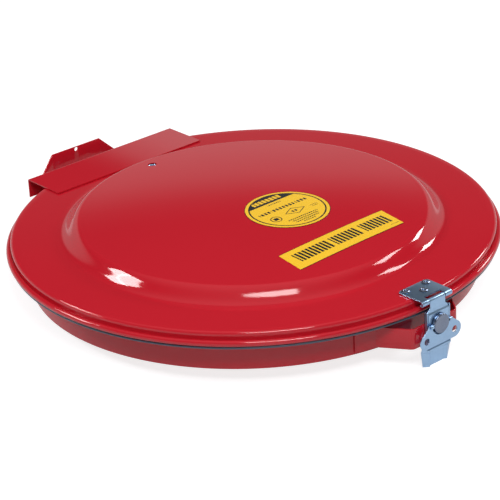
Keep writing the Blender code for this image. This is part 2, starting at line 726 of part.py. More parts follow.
def make_spindle(zinc, parent):
    """Stepped spindle: shaft, off-centre cam and round head, with a cross hole for the pin."""
    hub = -HUB_DROP
    cam = hub - CAM_THROW
    cam_back = BASE_FRONT + TOUCH
    rings = [(SPINDLE_R, hub, BASE_BACK), (SPINDLE_R, hub, cam_back), (CAM_R, cam, cam_back)]
    rings += [(CAM_R, cam, HEAD_BACK), (HEAD_R, hub, HEAD_BACK)]
    rings += [(HEAD_R, hub, HEAD_FRONT - 0.8), (HEAD_R - 1.0, hub, HEAD_FRONT)]
    steps = 24
    points = []
    for radius, z, depth in rings:
        points += [(x, -depth, y) for x, y in arc((0.0, z), radius, 0, 360, steps)[:steps]]
    faces = [list(range(steps)), [len(points) - steps + i for i in range(steps)]]
    for k in range(len(rings) - 1):
        for i in range(steps):
            j = (i + 1) % steps
            a = k * steps
            faces.append([a + i, a + j, a + steps + j, a + steps + i])
    made = solid("latch_spindle", points, faces, zinc, parent)
    at = (0.0, -WING_AXIS_OUT, hub)
    drill(made, at, WING_PIN_R + PIN_CLEARANCE, 4 * HEAD_R, "x", 12)
    return made


def make_link(zinc, parent):
    """Draw link: a plate with a slot for the cam, and a hook that passes over the bar."""
    hook = arc((BAR_AT, -BAR_DROP), HOOK_R, 205, 0, 10)
    path = [(BAR_AT - HOOK_R + 0.2, -BAR_DROP - 2.4)] + hook[1:]
    path += [(LINK_UPPER, LINK_SHOULDER + 4.0), (LINK_UPPER, LINK_SHOULDER)]
    path.append((LINK_UPPER, LINK_BEND + 1.0))
    path += [(LINK_LOWER, LINK_BEND - 1.0), (LINK_LOWER, LINK_BOTTOM + 5.0)]
    path.append((LINK_LOWER, LINK_BOTTOM))
    neck = SLOT_HALF - LINK_NECK
    halves = [neck] * (len(path) - 5) + [LINK_HALF] * 4 + [LINK_HALF - 3.0]
    low = [-half for half in halves]
    made = strap("latch_link", path, LINK_SHEET, low, halves, zinc, parent, "side")
    cam = -HUB_DROP - CAM_THROW
    high = CAM_R + CAM_SLACK
    wide = CAM_THROW + 0.3
    outline = arc((wide, cam), high, -90, 90, 8) + arc((-wide, cam), high, 90, 270, 8)
    slot = plate("cam_slot", outline, LINK_UPPER - 9.0, LINK_FRONT + 5.0, zinc, parent)
    shape(made, slot)
    return made


def wing_outline():
    """Butterfly outline in (x, z): two round ears, a straight lower edge, a cut round the head."""
    hub = -HUB_DROP
    ear = hub - EAR_DROP
    cut = HEAD_R + WING_CUT_GAP
    right = [(cut + 3.4, hub + 1.6), (cut + 7.6, hub - 2.0)]
    right += arc((EAR_OUT, ear), EAR_R, 62, -75, 9)
    left = [(-x, z) for x, z in reversed(right)]
    inner = arc((0.0, hub), cut, 186, 354, 14)
    first = [(-cut - 0.1, hub + 1.6)]
    last = [(cut + 0.1, hub + 1.6)]
    return first + inner + last + right + left


def make_wing(zinc, parent):
    """Folding butterfly handle with an eye each side for the wing pin."""
    back = WING_BACK
    made = plate("latch_wing", wing_outline(), back, back + WING_SHEET, zinc, parent)
    hole_height = -HUB_DROP - EAR_DROP
    inner = HEAD_R + 1.0
    outer = HEAD_R + WING_CUT_GAP + 3.6
    at = (-WING_AXIS_OUT, -HUB_DROP)
    for side in (-1, 1):
        ends = sorted((side * inner, side * outer))
        eye = rod(f"eye_{side + 1}_latch_wing", *ends, EYE_R, at, zinc, parent, 14)
        shape(made, eye, "UNION")
    for side in (-1, 1):
        drill(made, (side * EAR_OUT, -back, hole_height), EAR_HOLE_R, 9.0, "y")
    middle = (0.0, -WING_AXIS_OUT, -HUB_DROP)
    drill(made, middle, WING_PIN_R + PIN_CLEARANCE, 6 * HEAD_R, "x", 12)
    return made


def make_wing_pin(zinc, parent):
    """Cross pin through the head and both eyes."""
    reach = HEAD_R + WING_CUT_GAP + 3.4
    at = (-WING_AXIS_OUT, -HUB_DROP)
    return rod("wing_pin", -reach, reach, WING_PIN_R, at, zinc, parent, 10)


# --- assembly --------------------------------------------------------------------------------
def clear_scene():
    """Remove whatever the scene holds."""
    for old in list(bpy.data.objects):
        bpy.data.objects.remove(old, do_unlink=True)


def make_ring_parts(paint, zinc, seat):
    """Everything that stays on the drum."""
    make_band(paint, seat)
    make_bolt(zinc, seat)
    make_nut(zinc, seat)
    make_lug("hinge_lug_left", -1, paint, seat)
    make_lug("hinge_lug_right", 1, paint, seat)
    make_rear_bracket(paint, seat)
    make_front_bracket(paint, seat)
    make_base(zinc, seat)
    for number, (x, z) in enumerate(BASE_RIVET_AT, 1):
        make_base_rivet(f"base_rivet_{number}", x, z, zinc, seat)


def make_cover_parts(paint, zinc, rubber, ink, hinge):
    """Everything that swings with the lid."""
    make_lid(paint, hinge)
    make_gasket(rubber, hinge)
    make_vent_bushing(zinc, hinge)
    make_round_film(ink, hinge)
    make_strip_film(ink, hinge)
    make_hinge_plate(paint, hinge)
    make_clevis("hinge_clevis_left", -1, paint, hinge)
    make_clevis("hinge_clevis_right", 1, paint, hinge)
    make_hinge_pin("hinge_pin_left", -1, zinc, hinge)
    make_hinge_pin("hinge_pin_right", 1, zinc, hinge)
    make_keeper(zinc, hinge)
    half = KEEPER_WIDTH / 2 - 0.6
    rod("keeper_bar", -half, half, BAR_R, (-BAR_AT, -BAR_DROP), zinc, hinge)
    for number, (x, back) in enumerate(RIVET_AT, 1):
        make_keeper_rivet(f"keeper_rivet_{number}", x, back, zinc, hinge)


def main():
    """Build the cover with its origin on the drum's axis, at the gasket's underside."""
    clear_scene()
    paint = finish("red_enamel", (0.56, 0.012, 0.03), 0.22)
    zinc = finish("zinc_plate", (0.42, 0.52, 0.62), 0.3, 1.0)
    rubber = finish("black_rubber", (0.02, 0.022, 0.03), 0.45)
    ink = finish("printed_film", (0.93, 0.6, 0.04), 0.4)
    drum = bpy.data.objects.new("drum_rim", None)
    bpy.context.scene.collection.objects.link(drum)
    drum.location = (0.0, 0.0, -GASKET_SEAL * MM)
    drum["at"] = (0.0, 0.0, 0.0)
    hinge = axis("cover_hinge_axis", (0.0, HINGE_Y, -HINGE_DROP), drum)
    spindle = axis("spindle_axis", (0.0, -BASE_BACK, -HUB_DROP), drum)
    fold = axis("wing_fold_axis", (0.0, -WING_AXIS_OUT, -HUB_DROP), spindle)
    lift = axis("link_guide", (0.0, -LINK_LOWER, -HUB_DROP), drum)
    make_ring_parts(paint, zinc, drum)
    make_cover_parts(paint, zinc, rubber, ink, hinge)
    make_spindle(zinc, spindle)
    make_wing_pin(zinc, spindle)
    make_link(zinc, lift)
    make_wing(zinc, fold)


main()
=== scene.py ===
# %% [markdown]
# # A hinged safety cover for a steel drum
# The cover is a domed, glossy red lid with a rubber gasket. A split ring clamps round the drum's
# rolled rim and carries a hinge at the back and a rotary draw latch at the front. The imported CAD
# model says where everything is and how it moves. This lesson builds the surfaces we look at.

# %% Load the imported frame
import json
import math

import bmesh
import bpy
import numpy as np
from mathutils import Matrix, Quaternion, Vector


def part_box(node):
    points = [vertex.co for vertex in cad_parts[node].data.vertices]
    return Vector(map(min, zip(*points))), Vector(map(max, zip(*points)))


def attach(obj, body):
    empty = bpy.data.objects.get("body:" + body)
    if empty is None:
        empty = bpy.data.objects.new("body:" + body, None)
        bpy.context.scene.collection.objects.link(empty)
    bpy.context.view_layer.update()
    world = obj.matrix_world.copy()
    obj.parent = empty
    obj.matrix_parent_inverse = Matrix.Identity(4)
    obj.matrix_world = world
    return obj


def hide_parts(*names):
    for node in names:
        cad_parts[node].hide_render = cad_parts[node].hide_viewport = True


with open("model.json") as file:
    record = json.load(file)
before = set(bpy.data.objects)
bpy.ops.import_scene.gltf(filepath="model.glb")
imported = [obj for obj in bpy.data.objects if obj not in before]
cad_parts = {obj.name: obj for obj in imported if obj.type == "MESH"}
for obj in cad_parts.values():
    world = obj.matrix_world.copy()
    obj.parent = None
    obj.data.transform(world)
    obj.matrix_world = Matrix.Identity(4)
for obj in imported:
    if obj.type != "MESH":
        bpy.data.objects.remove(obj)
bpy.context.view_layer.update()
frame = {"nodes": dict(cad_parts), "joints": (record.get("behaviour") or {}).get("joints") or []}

# %% [markdown]
# Sheet metal is easiest to think of in millimetres, with heights measured from the flat top of
# the lid's brim. The lid's own box gives that height and the hem's radius, so nothing is fitted.

# %% Datum: the brim's top, the hem's radius, the hinge and the hub
MM = 0.001
BEAD_R = 4.0
BEAD_DROP = 13.8
lid_low, lid_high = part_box("cover_lid")
BRIM_Z = lid_low.z / MM + BEAD_DROP + BEAD_R
BEAD_OUT = lid_high.x / MM
HEM_PROUD = 6.4
BRIM_R = BEAD_OUT - HEM_PROUD
BAND_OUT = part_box("clamp_band")[1].x / MM
joint = {j["name"]: j for j in frame["joints"]}
HINGE_Y = joint["cover_hinge"]["pos_m"][1] / MM
HINGE_Z = joint["cover_hinge"]["pos_m"][2] / MM - BRIM_Z
HUB_Z = joint["wing_fold"]["pos_m"][2] / MM - BRIM_Z
WING_AXIS = -joint["wing_fold"]["pos_m"][1] / MM
FACE_OUT = -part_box("front_bracket")[0].y / MM
BAR_AT = -(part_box("keeper_bar")[0].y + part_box("keeper_bar")[1].y) / 2 / MM
BAR_Z = (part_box("keeper_bar")[0].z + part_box("keeper_bar")[1].z) / 2 / MM - BRIM_Z
print(f"brim {BRIM_Z:.2f}, rim {BRIM_R:.1f}, hem {BEAD_OUT:.1f}, band {BAND_OUT:.1f}")
print(f"hinge y {HINGE_Y:.1f} z {HINGE_Z:.1f}, hub z {HUB_Z:.1f}, bar {BAR_AT:.1f} {BAR_Z:.1f}")

# %% [markdown]
# ## Finishes
# Paint, plating and rubber all need a little unevenness. A node group is the right home for an
# effect that several materials share: it is built once, and each material gives it its own
# values. Groups here put out only colours, masks, values and normals. The shader stays outside.


# %% Helper: add nodes with fewer words
def node(tree, kind, **values):
    """Add a node. Names that are sockets set the socket, and others set the node's property."""
    made = tree.nodes.new(kind)
    for name, value in values.items():
        label = name.replace("_", " ")
        if label in made.inputs:
            made.inputs[label].default_value = value
        else:
            setattr(made, name, value)
    return made


def calc(tree, operation, a, b=None, c=None):
    """One Math node whose inputs are numbers or sockets. Returns its output."""
    made = tree.nodes.new("ShaderNodeMath")
    made.operation = operation
    for i, value in enumerate((a, b, c)):
        if value is None:
            continue
        if isinstance(value, (int, float)):
            made.inputs[i].default_value = value
        else:
            tree.links.new(value, made.inputs[i])
    return made.outputs[0]


def blend_colour(tree, mask, first, second):
    """A colour that goes from first to second as mask goes from 0 to 1."""
    made = node(tree, "ShaderNodeMix", data_type="RGBA")
    tree.links.new(mask, made.inputs["Factor"])
    for socket, value in ((made.inputs[6], first), (made.inputs[7], second)):
        if isinstance(value, tuple):
            socket.default_value = (*value, 1.0)
        else:
            tree.links.new(value, socket)
    return made.outputs[2]


def new_group(name, inputs, outputs):
    """An empty shader group with named sockets, and its two end nodes."""
    group = bpy.data.node_groups.new(name, "ShaderNodeTree")
    for socket, kind, value in inputs:
        made = group.interface.new_socket(socket, in_out="INPUT", socket_type=kind)
        if value is not None:
            made.default_value = value
    for socket, kind in outputs:
        group.interface.new_socket(socket, in_out="OUTPUT", socket_type=kind)
    return group, group.nodes.new("NodeGroupInput"), group.nodes.new("NodeGroupOutput")


print("node helpers ready")

# %% Group: an uneven skin for paint, plating and rubber
UNEVEN, given, given_out = new_group(
    "uneven skin",
    [("Vector", "NodeSocketVector", None), ("Light", "NodeSocketColor", (1, 1, 1, 1)),
     ("Dark", "NodeSocketColor", (0, 0, 0, 1)), ("Patch Size", "NodeSocketFloat", 30.0),
     ("Patch Amount", "NodeSocketFloat", 0.5), ("Grain Size", "NodeSocketFloat", 900.0),
     ("Smooth", "NodeSocketFloat", 0.15), ("Rough", "NodeSocketFloat", 0.3),
     ("Relief", "NodeSocketFloat", 0.1)],
    [("Color", "NodeSocketColor"), ("Roughness", "NodeSocketFloat"), ("Normal", "NodeSocketVector")])
patches = node(UNEVEN, "ShaderNodeTexNoise", Detail=4.0, Roughness=0.6)
grain = node(UNEVEN, "ShaderNodeTexNoise", Detail=3.0, Roughness=0.65)
for texture, size in ((patches, "Patch Size"), (grain, "Grain Size")):
    UNEVEN.links.new(given.outputs["Vector"], texture.inputs["Vector"])
    UNEVEN.links.new(given.outputs[size], texture.inputs["Scale"])
mask = calc(UNEVEN, "MULTIPLY", patches.outputs["Fac"], given.outputs["Patch Amount"])
tint = blend_colour(UNEVEN, mask, given.outputs["Light"], given.outputs["Dark"])
UNEVEN.links.new(tint, given_out.inputs["Color"])
span = calc(UNEVEN, "SUBTRACT", given.outputs["Rough"], given.outputs["Smooth"])
rough = calc(UNEVEN, "MULTIPLY_ADD", span, grain.outputs["Fac"], given.outputs["Smooth"])
UNEVEN.links.new(rough, given_out.inputs["Roughness"])
relief = node(UNEVEN, "ShaderNodeBump", Distance=0.0002)
UNEVEN.links.new(grain.outputs["Fac"], relief.inputs["Height"])
UNEVEN.links.new(given.outputs["Relief"], relief.inputs["Strength"])
UNEVEN.links.new(relief.outputs["Normal"], given_out.inputs["Normal"])
print("group", UNEVEN.name, "with", len(UNEVEN.nodes), "nodes")


# %% Helper: a material with an uneven skin
def skinned(name, light, dark, metallic=0.0, specular=0.5, coat=0.0, **skin):
    """A Principled material whose colour, roughness and normal come from the uneven skin."""
    made = bpy.data.materials.new(name)
    made.use_nodes = True
    tree = made.node_tree
    shader = tree.nodes["Principled BSDF"]
    shader.inputs["Metallic"].default_value = metallic
    shader.inputs["Specular IOR Level"].default_value = specular
    shader.inputs["Coat Weight"].default_value = coat
    shader.inputs["Coat Roughness"].default_value = 0.04
    place = node(tree, "ShaderNodeTexCoord")
    skin_node = node(tree, "ShaderNodeGroup", node_tree=UNEVEN, Light=(*light, 1), Dark=(*dark, 1))
    for socket, value in skin.items():
        skin_node.inputs[socket.replace("_", " ")].default_value = value
    tree.links.new(place.outputs["Object"], skin_node.inputs["Vector"])
    tree.links.new(skin_node.outputs["Color"], shader.inputs["Base Color"])
    tree.links.new(skin_node.outputs["Roughness"], shader.inputs["Roughness"])
    tree.links.new(skin_node.outputs["Normal"], shader.inputs["Normal"])
    made.diffuse_color = (*light, 1)
    return made


# %% Red enamel, zinc plate and rubber
# Enamel is smooth with a faint orange peel. Bright zinc has a blue cast and a fine, uneven
# grain. Moulded rubber is nearly black, with a dull sheen. The blue in the rubber's colour is a painted
# reflection of that sheen.
ENAMEL = skinned("red enamel", (0.55, 0.010, 0.022), (0.47, 0.008, 0.019), specular=0.5,
                 Patch_Size=9.0, Patch_Amount=0.35, Grain_Size=420.0,
                 Smooth=0.05, Rough=0.10, Relief=0.03)
ZINC = skinned("bright zinc plate", (0.40, 0.58, 0.80), (0.24, 0.39, 0.61), metallic=1.0,
               Patch_Size=160.0, Patch_Amount=0.45, Grain_Size=1500.0,
               Smooth=0.24, Rough=0.42, Relief=0.10)
STEEL = skinned("rivet steel", (0.25, 0.29, 0.38), (0.15, 0.18, 0.25), metallic=1.0,
                Patch_Size=260.0, Patch_Amount=0.5, Grain_Size=1500.0,
                Smooth=0.12, Rough=0.30, Relief=0.12)
# painted reflection: the blue tint in this black rubber's colour stands in for the blue-grey sheen it
# reflects
SHEEN_PAINTED_RUBBER = skinned("gasket rubber with painted sheen", (0.060, 0.085, 0.13), (0.02, 0.024, 0.034), specular=0.6,
                 Patch_Size=60.0, Patch_Amount=0.6, Grain_Size=1100.0,
                 Smooth=0.32, Rough=0.5, Relief=0.2)
print("finishes", [m.name for m in (ENAMEL, ZINC, STEEL, SHEEN_PAINTED_RUBBER)])

# %% [markdown]
# ## How the surfaces are made
# Almost everything here is bent sheet, so two shapes do most of the work. A turned shape carries
# a profile round an axis. A strap carries a rounded rectangle along a bent line. Both are grids
# of points, worked out as whole arrays, with quads between neighbours.


# %% Helper: a grid of points becomes a piece
def piece(name, points, faces, finish, body, stands_for=(), slot=None, smooth=32.0):
    """A mesh from points in millimetres above the brim. It rides on a body of the frame."""
    mesh = bpy.data.meshes.new(name)
    world = (np.asarray(points, float).reshape(-1, 3) + (0.0, 0.0, BRIM_Z)) * MM
    mesh.from_pydata(world.tolist(), [], faces)
    mesh.validate()
    mesh.shade_smooth()
    mesh.set_sharp_from_angle(angle=math.radians(smooth))
    mesh.materials.append(finish)
    made = bpy.data.objects.new(name, mesh)
    bpy.context.scene.collection.objects.link(made)
    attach(made, body)
    if stands_for:
        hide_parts(*stands_for)
    print(f"{name}: {len(mesh.polygons)} faces on {body}")
    return made


def quads(rows, columns, row_loop=False, column_loop=False):
    """Corner numbers of the quads between neighbours in a grid with that many rows and columns."""
    i = np.arange(rows if row_loop else rows - 1)[:, None]
    j = np.arange(columns if column_loop else columns - 1)[None, :]
    here = i * columns + j
    right = i * columns + (j + 1) % columns
    below = ((i + 1) % rows) * columns + j
    across = ((i + 1) % rows) * columns + (j + 1) % columns
    return np.stack([here, right, across, below], -1).reshape(-1, 4).tolist()


def turned(name, section, finish, body, middle=(0, 0, 0), along="z", steps=48, pole=False, **more):
    """Each (radius, height) of the section goes round an axis through middle.

    A point is radius times (cosine, sine) across the axis, and height along it. With pole, the
    first and last radius are closed by a flat face. Otherwise the section is a closed loop.
    """
    section = np.asarray(section, float)
    turn = np.linspace(0, math.tau, steps, endpoint=False)
    u = section[:, :1] * np.cos(turn)
    v = section[:, :1] * np.sin(turn)
    w = np.repeat(section[:, 1:], steps, 1)
    axes = {"z": (u, v, w), "y": (u, -w, v), "x": (w, u, v)}[along]
    points = np.stack(axes, -1) + np.asarray(middle, float)
    faces = quads(len(section), steps, row_loop=not pole, column_loop=True)
    if pole:
        last = (len(section) - 1) * steps
        faces += [list(range(steps))[::-1], [last + k for k in range(steps)]]
    return outward(piece(name, points, faces, finish, body, **more))


def outward(made, join=0.0):
    """Turn every face of a closed shell outwards. Points nearer than join are made one first."""
    work = bmesh.new()
    work.from_mesh(made.data)
    if join:
        bmesh.ops.remove_doubles(work, verts=work.verts, dist=join)
    bmesh.ops.recalc_face_normals(work, faces=work.faces)
    work.to_mesh(made.data)
    work.free()
    return made


# %% Helper: lines that bend
def arc(centre, radius, start, end, steps):
    """Points at a radius round a centre, from one angle to another, in degrees."""
    angle = np.radians(np.linspace(start, end, steps + 1))
    return np.stack([centre[0] + radius * np.cos(angle), centre[1] + radius * np.sin(angle)], 1)


def bent(corners, steps=8):
    """A line through (x, y, radius) corners. Each corner is replaced by a round of its radius."""
    corners = np.asarray(corners, float)
    found = [corners[:1, :2]]
    for before, here, after in zip(corners[:-2], corners[1:-1], corners[2:]):
        a = (before - here)[:2] / np.linalg.norm((before - here)[:2])
        b = (after - here)[:2] / np.linalg.norm((after - here)[:2])
        half = math.acos(np.clip(a @ b, -1, 1)) / 2
        if here[2] <= 0 or half > 1.55:
            found.append(here[None, :2])
            continue
        middle = here[:2] + (a + b) / np.linalg.norm(a + b) * here[2] / math.sin(half)
        t = np.linspace(0, 1, steps + 1)[:, None]
        start = here[:2] + a * here[2] / math.tan(half) - middle
        end = here[:2] + b * here[2] / math.tan(half) - middle
        sweep = math.pi - 2 * half
        round_ = (np.sin((1 - t) * sweep) * start + np.sin(t * sweep) * end) / math.sin(sweep)
        found.append(middle + round_)
    found.append(corners[-1:, :2])
    return np.concatenate(found)


def walk(line, step):
    """The same line with points no further apart than step, keeping its own points."""
    length = np.linalg.norm(np.diff(line, axis=0), axis=1)
    at = np.concatenate([[0], np.cumsum(length)])
    extra = np.arange(0, at[-1], step)
    s = np.unique(np.round(np.concatenate([at, extra]), 4))
    return np.stack([np.interp(s, at, line[:, k]) for k in (0, 1)], 1)


# %% Helper: a strap, a rounded rectangle carried along a line
def strap(name, line, sheet, low, high, finish, body, seen="plan", edge=0.35, **more):
    """The section goes along a line and its corners are rounded by edge.

    A point is the line's point, plus its left-hand normal times a distance through the sheet,
    with its third coordinate between low and high. Seen in plan, the line lies in x and y, and
    low and high are heights. Seen from the side, the line lies in depth and height, and low and
    high are x. At a bend the normal is lengthened, so the sheet keeps its thickness.
    """
    ahead = np.diff(line, axis=0)
    ahead /= np.linalg.norm(ahead, axis=1, keepdims=True)
    first = np.vstack([ahead[:1], ahead])
    second = np.vstack([ahead, ahead[-1:]])
    middle = first + second
    middle /= np.linalg.norm(middle, axis=1, keepdims=True)
    stretch = 1 / np.clip((middle * first).sum(1), 0.5, 1)
    normal = np.stack([-middle[:, 1], middle[:, 0]], 1) * stretch[:, None]
    turn = np.radians(np.array([180, 210, 240, 270]))
    corner = np.stack([np.cos(turn), np.sin(turn)], 1) * edge
    half = sheet / 2 - edge
    low_left = corner + (-half, edge)
    low_right = (corner * (-1, 1) + (half, edge))[::-1]
    across = np.concatenate([low_left, low_right])
    through = np.concatenate([across[:, 0], across[::-1, 0]])
    inset = np.concatenate([across[:, 1], across[::-1, 1]])
    upper = np.repeat([0.0, 1.0], len(across))
    low = np.broadcast_to(np.asarray(low, float), len(line))[:, None]
    high = np.broadcast_to(np.asarray(high, float), len(line))[:, None]
    third = np.where(upper > 0, high - inset, low + inset)
    flat = line[:, None, :] + normal[:, None, :] * through[None, :, None]
    if seen == "plan":
        points = np.dstack([flat[..., 0], flat[..., 1], third])
    else:
        points = np.dstack([third, -flat[..., 0], flat[..., 1]])
    count = len(through)
    faces = quads(len(line), count, column_loop=True)
    faces += [list(range(count)), [(len(line) - 1) * count + k for k in range(count)]]
    return outward(piece(name, points, faces, finish, body, **more))


# %% Helper: a flat pressing with holes, and a cut
def pressing(name, outline, holes, near, far, finish, body, seen="front", edge=0.35, **more):
    """A flat plate with round edges: a filled outline in (x, z) or (y, z), between two depths."""
    curve = bpy.data.curves.new(name, "CURVE")
    curve.dimensions = "2D"
    curve.fill_mode = "BOTH"
    curve.extrude = abs(far - near) / 2 - edge
    curve.bevel_depth = edge
    curve.bevel_resolution = 2
    for loop in [outline, *holes]:
        line = curve.splines.new("POLY")
        line.points.add(len(loop) - 1)
        line.use_cyclic_u = True
        flat = np.concatenate([loop, np.zeros((len(loop), 1)), np.ones((len(loop), 1))], 1)
        line.points.foreach_set("co", flat.ravel())
    shown = bpy.data.objects.new(name + "_outline", curve)
    bpy.context.scene.collection.objects.link(shown)
    bpy.context.view_layer.update()
    flat_mesh = bpy.data.meshes.new_from_object(shown)
    bpy.data.objects.remove(shown)
    co = np.zeros(len(flat_mesh.vertices) * 3)
    flat_mesh.vertices.foreach_get("co", co)
    a, b, c = co.reshape(-1, 3).T
    depth = (near + far) / 2 + c
    points = np.stack([a, -depth, b] if seen == "front" else [depth, a, b], 1)
    faces = [list(p.vertices) for p in flat_mesh.polygons]
    bpy.data.meshes.remove(flat_mesh)
    return outward(piece(name, points, faces, finish, body, **more), join=1e-7)


def cut(made, tool):
    """Take a tool's shape out of a piece, then throw the tool away."""
    change = made.modifiers.new("cut", "BOOLEAN")
    change.object = tool
    change.solver = "EXACT"
    bpy.context.view_layer.update()
    shown = made.evaluated_get(bpy.context.evaluated_depsgraph_get())
    old = made.data
    made.modifiers.remove(change)
    made.data = bpy.data.meshes.new_from_object(shown)
    made.data.name = old.name
    bpy.data.objects.remove(tool)
    made.data.set_sharp_from_angle(angle=math.radians(32))
    print(f"{made.name}: cut, now {len(made.data.polygons)} faces")


print("shape helpers ready")

# %% [markdown]
# ## The lid
# A press draws the dome out of one sheet. Its crown is very shallow. The shoulder is half a
# cosine wave, so it has no edge at either end and its highlights fade only up and down. The rim
# turns down, narrows to a groove and ends in a rolled hem. One closed profile, turned once,
# gives all of it.

# %% Lid profile
SHEET = 1.2
BRIM_WIDTH, SHOULDER_RUN, RIM_ROUND = 67.0, 26.0, 4.0
FOOT_R = BRIM_R - BRIM_WIDTH
CREST_R = FOOT_R - SHOULDER_RUN
STEP = 17.9
RISE = 7.0


def top_height(radius):
    """Height of the lid's top: a parabola for the crown, half a cosine wave, then the brim."""
    radius = np.asarray(radius, float)
    crown = STEP + RISE * (1 - (np.minimum(radius, CREST_R) / CREST_R) ** 2)
    share = np.clip((radius - CREST_R) / (FOOT_R - CREST_R), 0, 1)
    shoulder = STEP * (0.5 + 0.5 * np.cos(math.pi * share))
    return np.where(radius <= CREST_R, crown, shoulder)


crown_r = np.linspace(0.6, CREST_R, 40)
shoulder_r = np.linspace(CREST_R, FOOT_R, 36)[1:]
brim_r = np.linspace(FOOT_R, BRIM_R - RIM_ROUND, 10)[1:-1]
top_r = np.concatenate([crown_r, shoulder_r, brim_r])
top = np.stack([top_r, top_height(top_r)], 1)
edge_round = arc((BRIM_R - RIM_ROUND, -RIM_ROUND), RIM_ROUND, 90, 0, 10)
groove = np.array([[BRIM_R - 0.1, -5.4], [BRIM_R - 0.7, -7.4], [BRIM_R - 1.0, -9.2]])
hem = arc((BEAD_OUT - BEAD_R, -BEAD_DROP), BEAD_R, 140, -180, 26)
inner = arc((BRIM_R - RIM_ROUND, -RIM_ROUND), RIM_ROUND - SHEET, 0, 90, 5) + (-0.1, 0)
under = top[::-1] - (0, SHEET)
profile = np.concatenate([top, edge_round, groove, hem, [[BRIM_R - 2.2, -9.0]], inner, under])
lid = turned("lid_shell", profile, ENAMEL, "cover", steps=360, pole=True,
             stands_for=["cover_lid"], slot="red_enamel")

# %% [markdown]
# The vent is a small hole near the hinge, with an open bush behind it. The hole is cut after the
# lid is turned, because a hole off the axis has no place in a turned profile.

# %% Vent hole and its bush
VENT_R = 6.1
bush_low, bush_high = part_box("vent_bushing")
VENT_Y = (bush_low.y + bush_high.y) / 2 / MM
vent_tool = turned("vent_tool", [[VENT_R, -12], [VENT_R, 12]], ENAMEL, "cover", pole=True,
                   middle=(0, VENT_Y, float(top_height(VENT_Y))), steps=40)
cut(lid, vent_tool)
bush_top = bush_high.z / MM - BRIM_Z
bush = [[4.7, bush_top - 6], [9.1, bush_top - 6], [9.5, bush_top - 5.6], [9.5, bush_top - 0.3],
        [9.2, bush_top], [5.3, bush_top], [4.7, bush_top - 0.6]]
turned("vent_bush", bush, ZINC, "cover", middle=(0, VENT_Y, 0), steps=48,
       stands_for=["vent_bushing"], slot="zinc_plate")

# %% [markdown]
# The gasket is a moulded ring. A thick body sits over the drum's rim. Past a shallow groove, a
# thin lip runs out to the hem, where its edge shows as a dark line. Its slight blue is a painted
# reflection in the rubber's colour.

# %% Gasket
gasket_low, gasket_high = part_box("cover_gasket")
lip_r = gasket_high.x / MM
seal = gasket_low.z / MM - BRIM_Z
body_top = gasket_high.z / MM - BRIM_Z
body_in = lip_r - 45.0
lip = arc((lip_r - 1.5, seal + 1.55), 1.5, -90, 90, 10)
section = np.concatenate([
    [[body_in, seal + 1.0], [body_in + 1.0, seal], [body_in + 14.7, seal],
     [body_in + 15, seal + 0.6], [body_in + 17, seal + 0.6], [body_in + 17.3, seal]], lip,
    [[body_in + 17, seal + 3.1], [body_in + 15.4, seal + 3.6], [body_in + 15, seal + 5.0],
     [body_in + 15, body_top - 1], [body_in + 14, body_top], [body_in + 1, body_top],
     [body_in, body_top - 1]]])
turned("gasket_ring", section, SHEEN_PAINTED_RUBBER, "cover", steps=240,
       stands_for=["cover_gasket"], slot="black_rubber")

# %% [markdown]
# ## Printed films
# Two yellow films are stuck on the dome. Each is a thin closed patch that follows the dome's own
# height formula. Their print is made of nodes, with plain bars where words would be. The strip
# is cut a little on the slant.


# %% Films that follow the dome
FILM_GAP, FILM_SHEET = 0.25, 0.22
INK = (0.012, 0.013, 0.016)


def film(name, x, y, faces_of, material, stands_for):
    """A closed patch: the dome's height at each x and y, once plus a gap and once plus a film."""
    base = top_height(np.hypot(x, y)) + FILM_GAP
    lower = np.stack([x, y, base], -1).reshape(-1, 3)
    upper = lower + (0, 0, FILM_SHEET)
    inner_faces, border = faces_of
    count = len(lower)
    faces = [f[::-1] for f in inner_faces] + [[k + count for k in f] for f in inner_faces]
    loop = list(zip(border, border[1:] + border[:1]))
    faces += [[a, b, b + count, a + count] for a, b in loop]
    points = np.concatenate([lower, upper])
    return outward(piece(name, points, faces, material, "cover", stands_for, "printed_film"))


def print_mark(tree, kind, u, v, at, half, pitch=0.0, duty=0.62):
    """A mask that is 1 inside a mark: a box, a ring, a diamond line, or a row of bars."""
    du = calc(tree, "SUBTRACT", u, at[0])
    dv = calc(tree, "SUBTRACT", v, at[1])
    au, av = calc(tree, "ABSOLUTE", du), calc(tree, "ABSOLUTE", dv)
    if kind == "ring":
        far = calc(tree, "SQRT", calc(tree, "ADD", calc(tree, "POWER", du, 2.0),
                                      calc(tree, "POWER", dv, 2.0)))
        return calc(tree, "LESS_THAN", calc(tree, "ABSOLUTE", calc(tree, "SUBTRACT", far, half[0])),
                    half[1])
    if kind == "diamond":
        far = calc(tree, "ADD", calc(tree, "DIVIDE", au, half[0]), calc(tree, "DIVIDE", av, half[1]))
        return calc(tree, "LESS_THAN", calc(tree, "ABSOLUTE", calc(tree, "SUBTRACT", far, 0.93)), 0.07)
    inside = calc(tree, "MULTIPLY", calc(tree, "LESS_THAN", au, half[0]),
                  calc(tree, "LESS_THAN", av, half[1]))
    if kind == "bars":
        wave = calc(tree, "FRACT", calc(tree, "DIVIDE", du, pitch))
        inside = calc(tree, "MULTIPLY", inside, calc(tree, "LESS_THAN", wave, duty))
    return inside


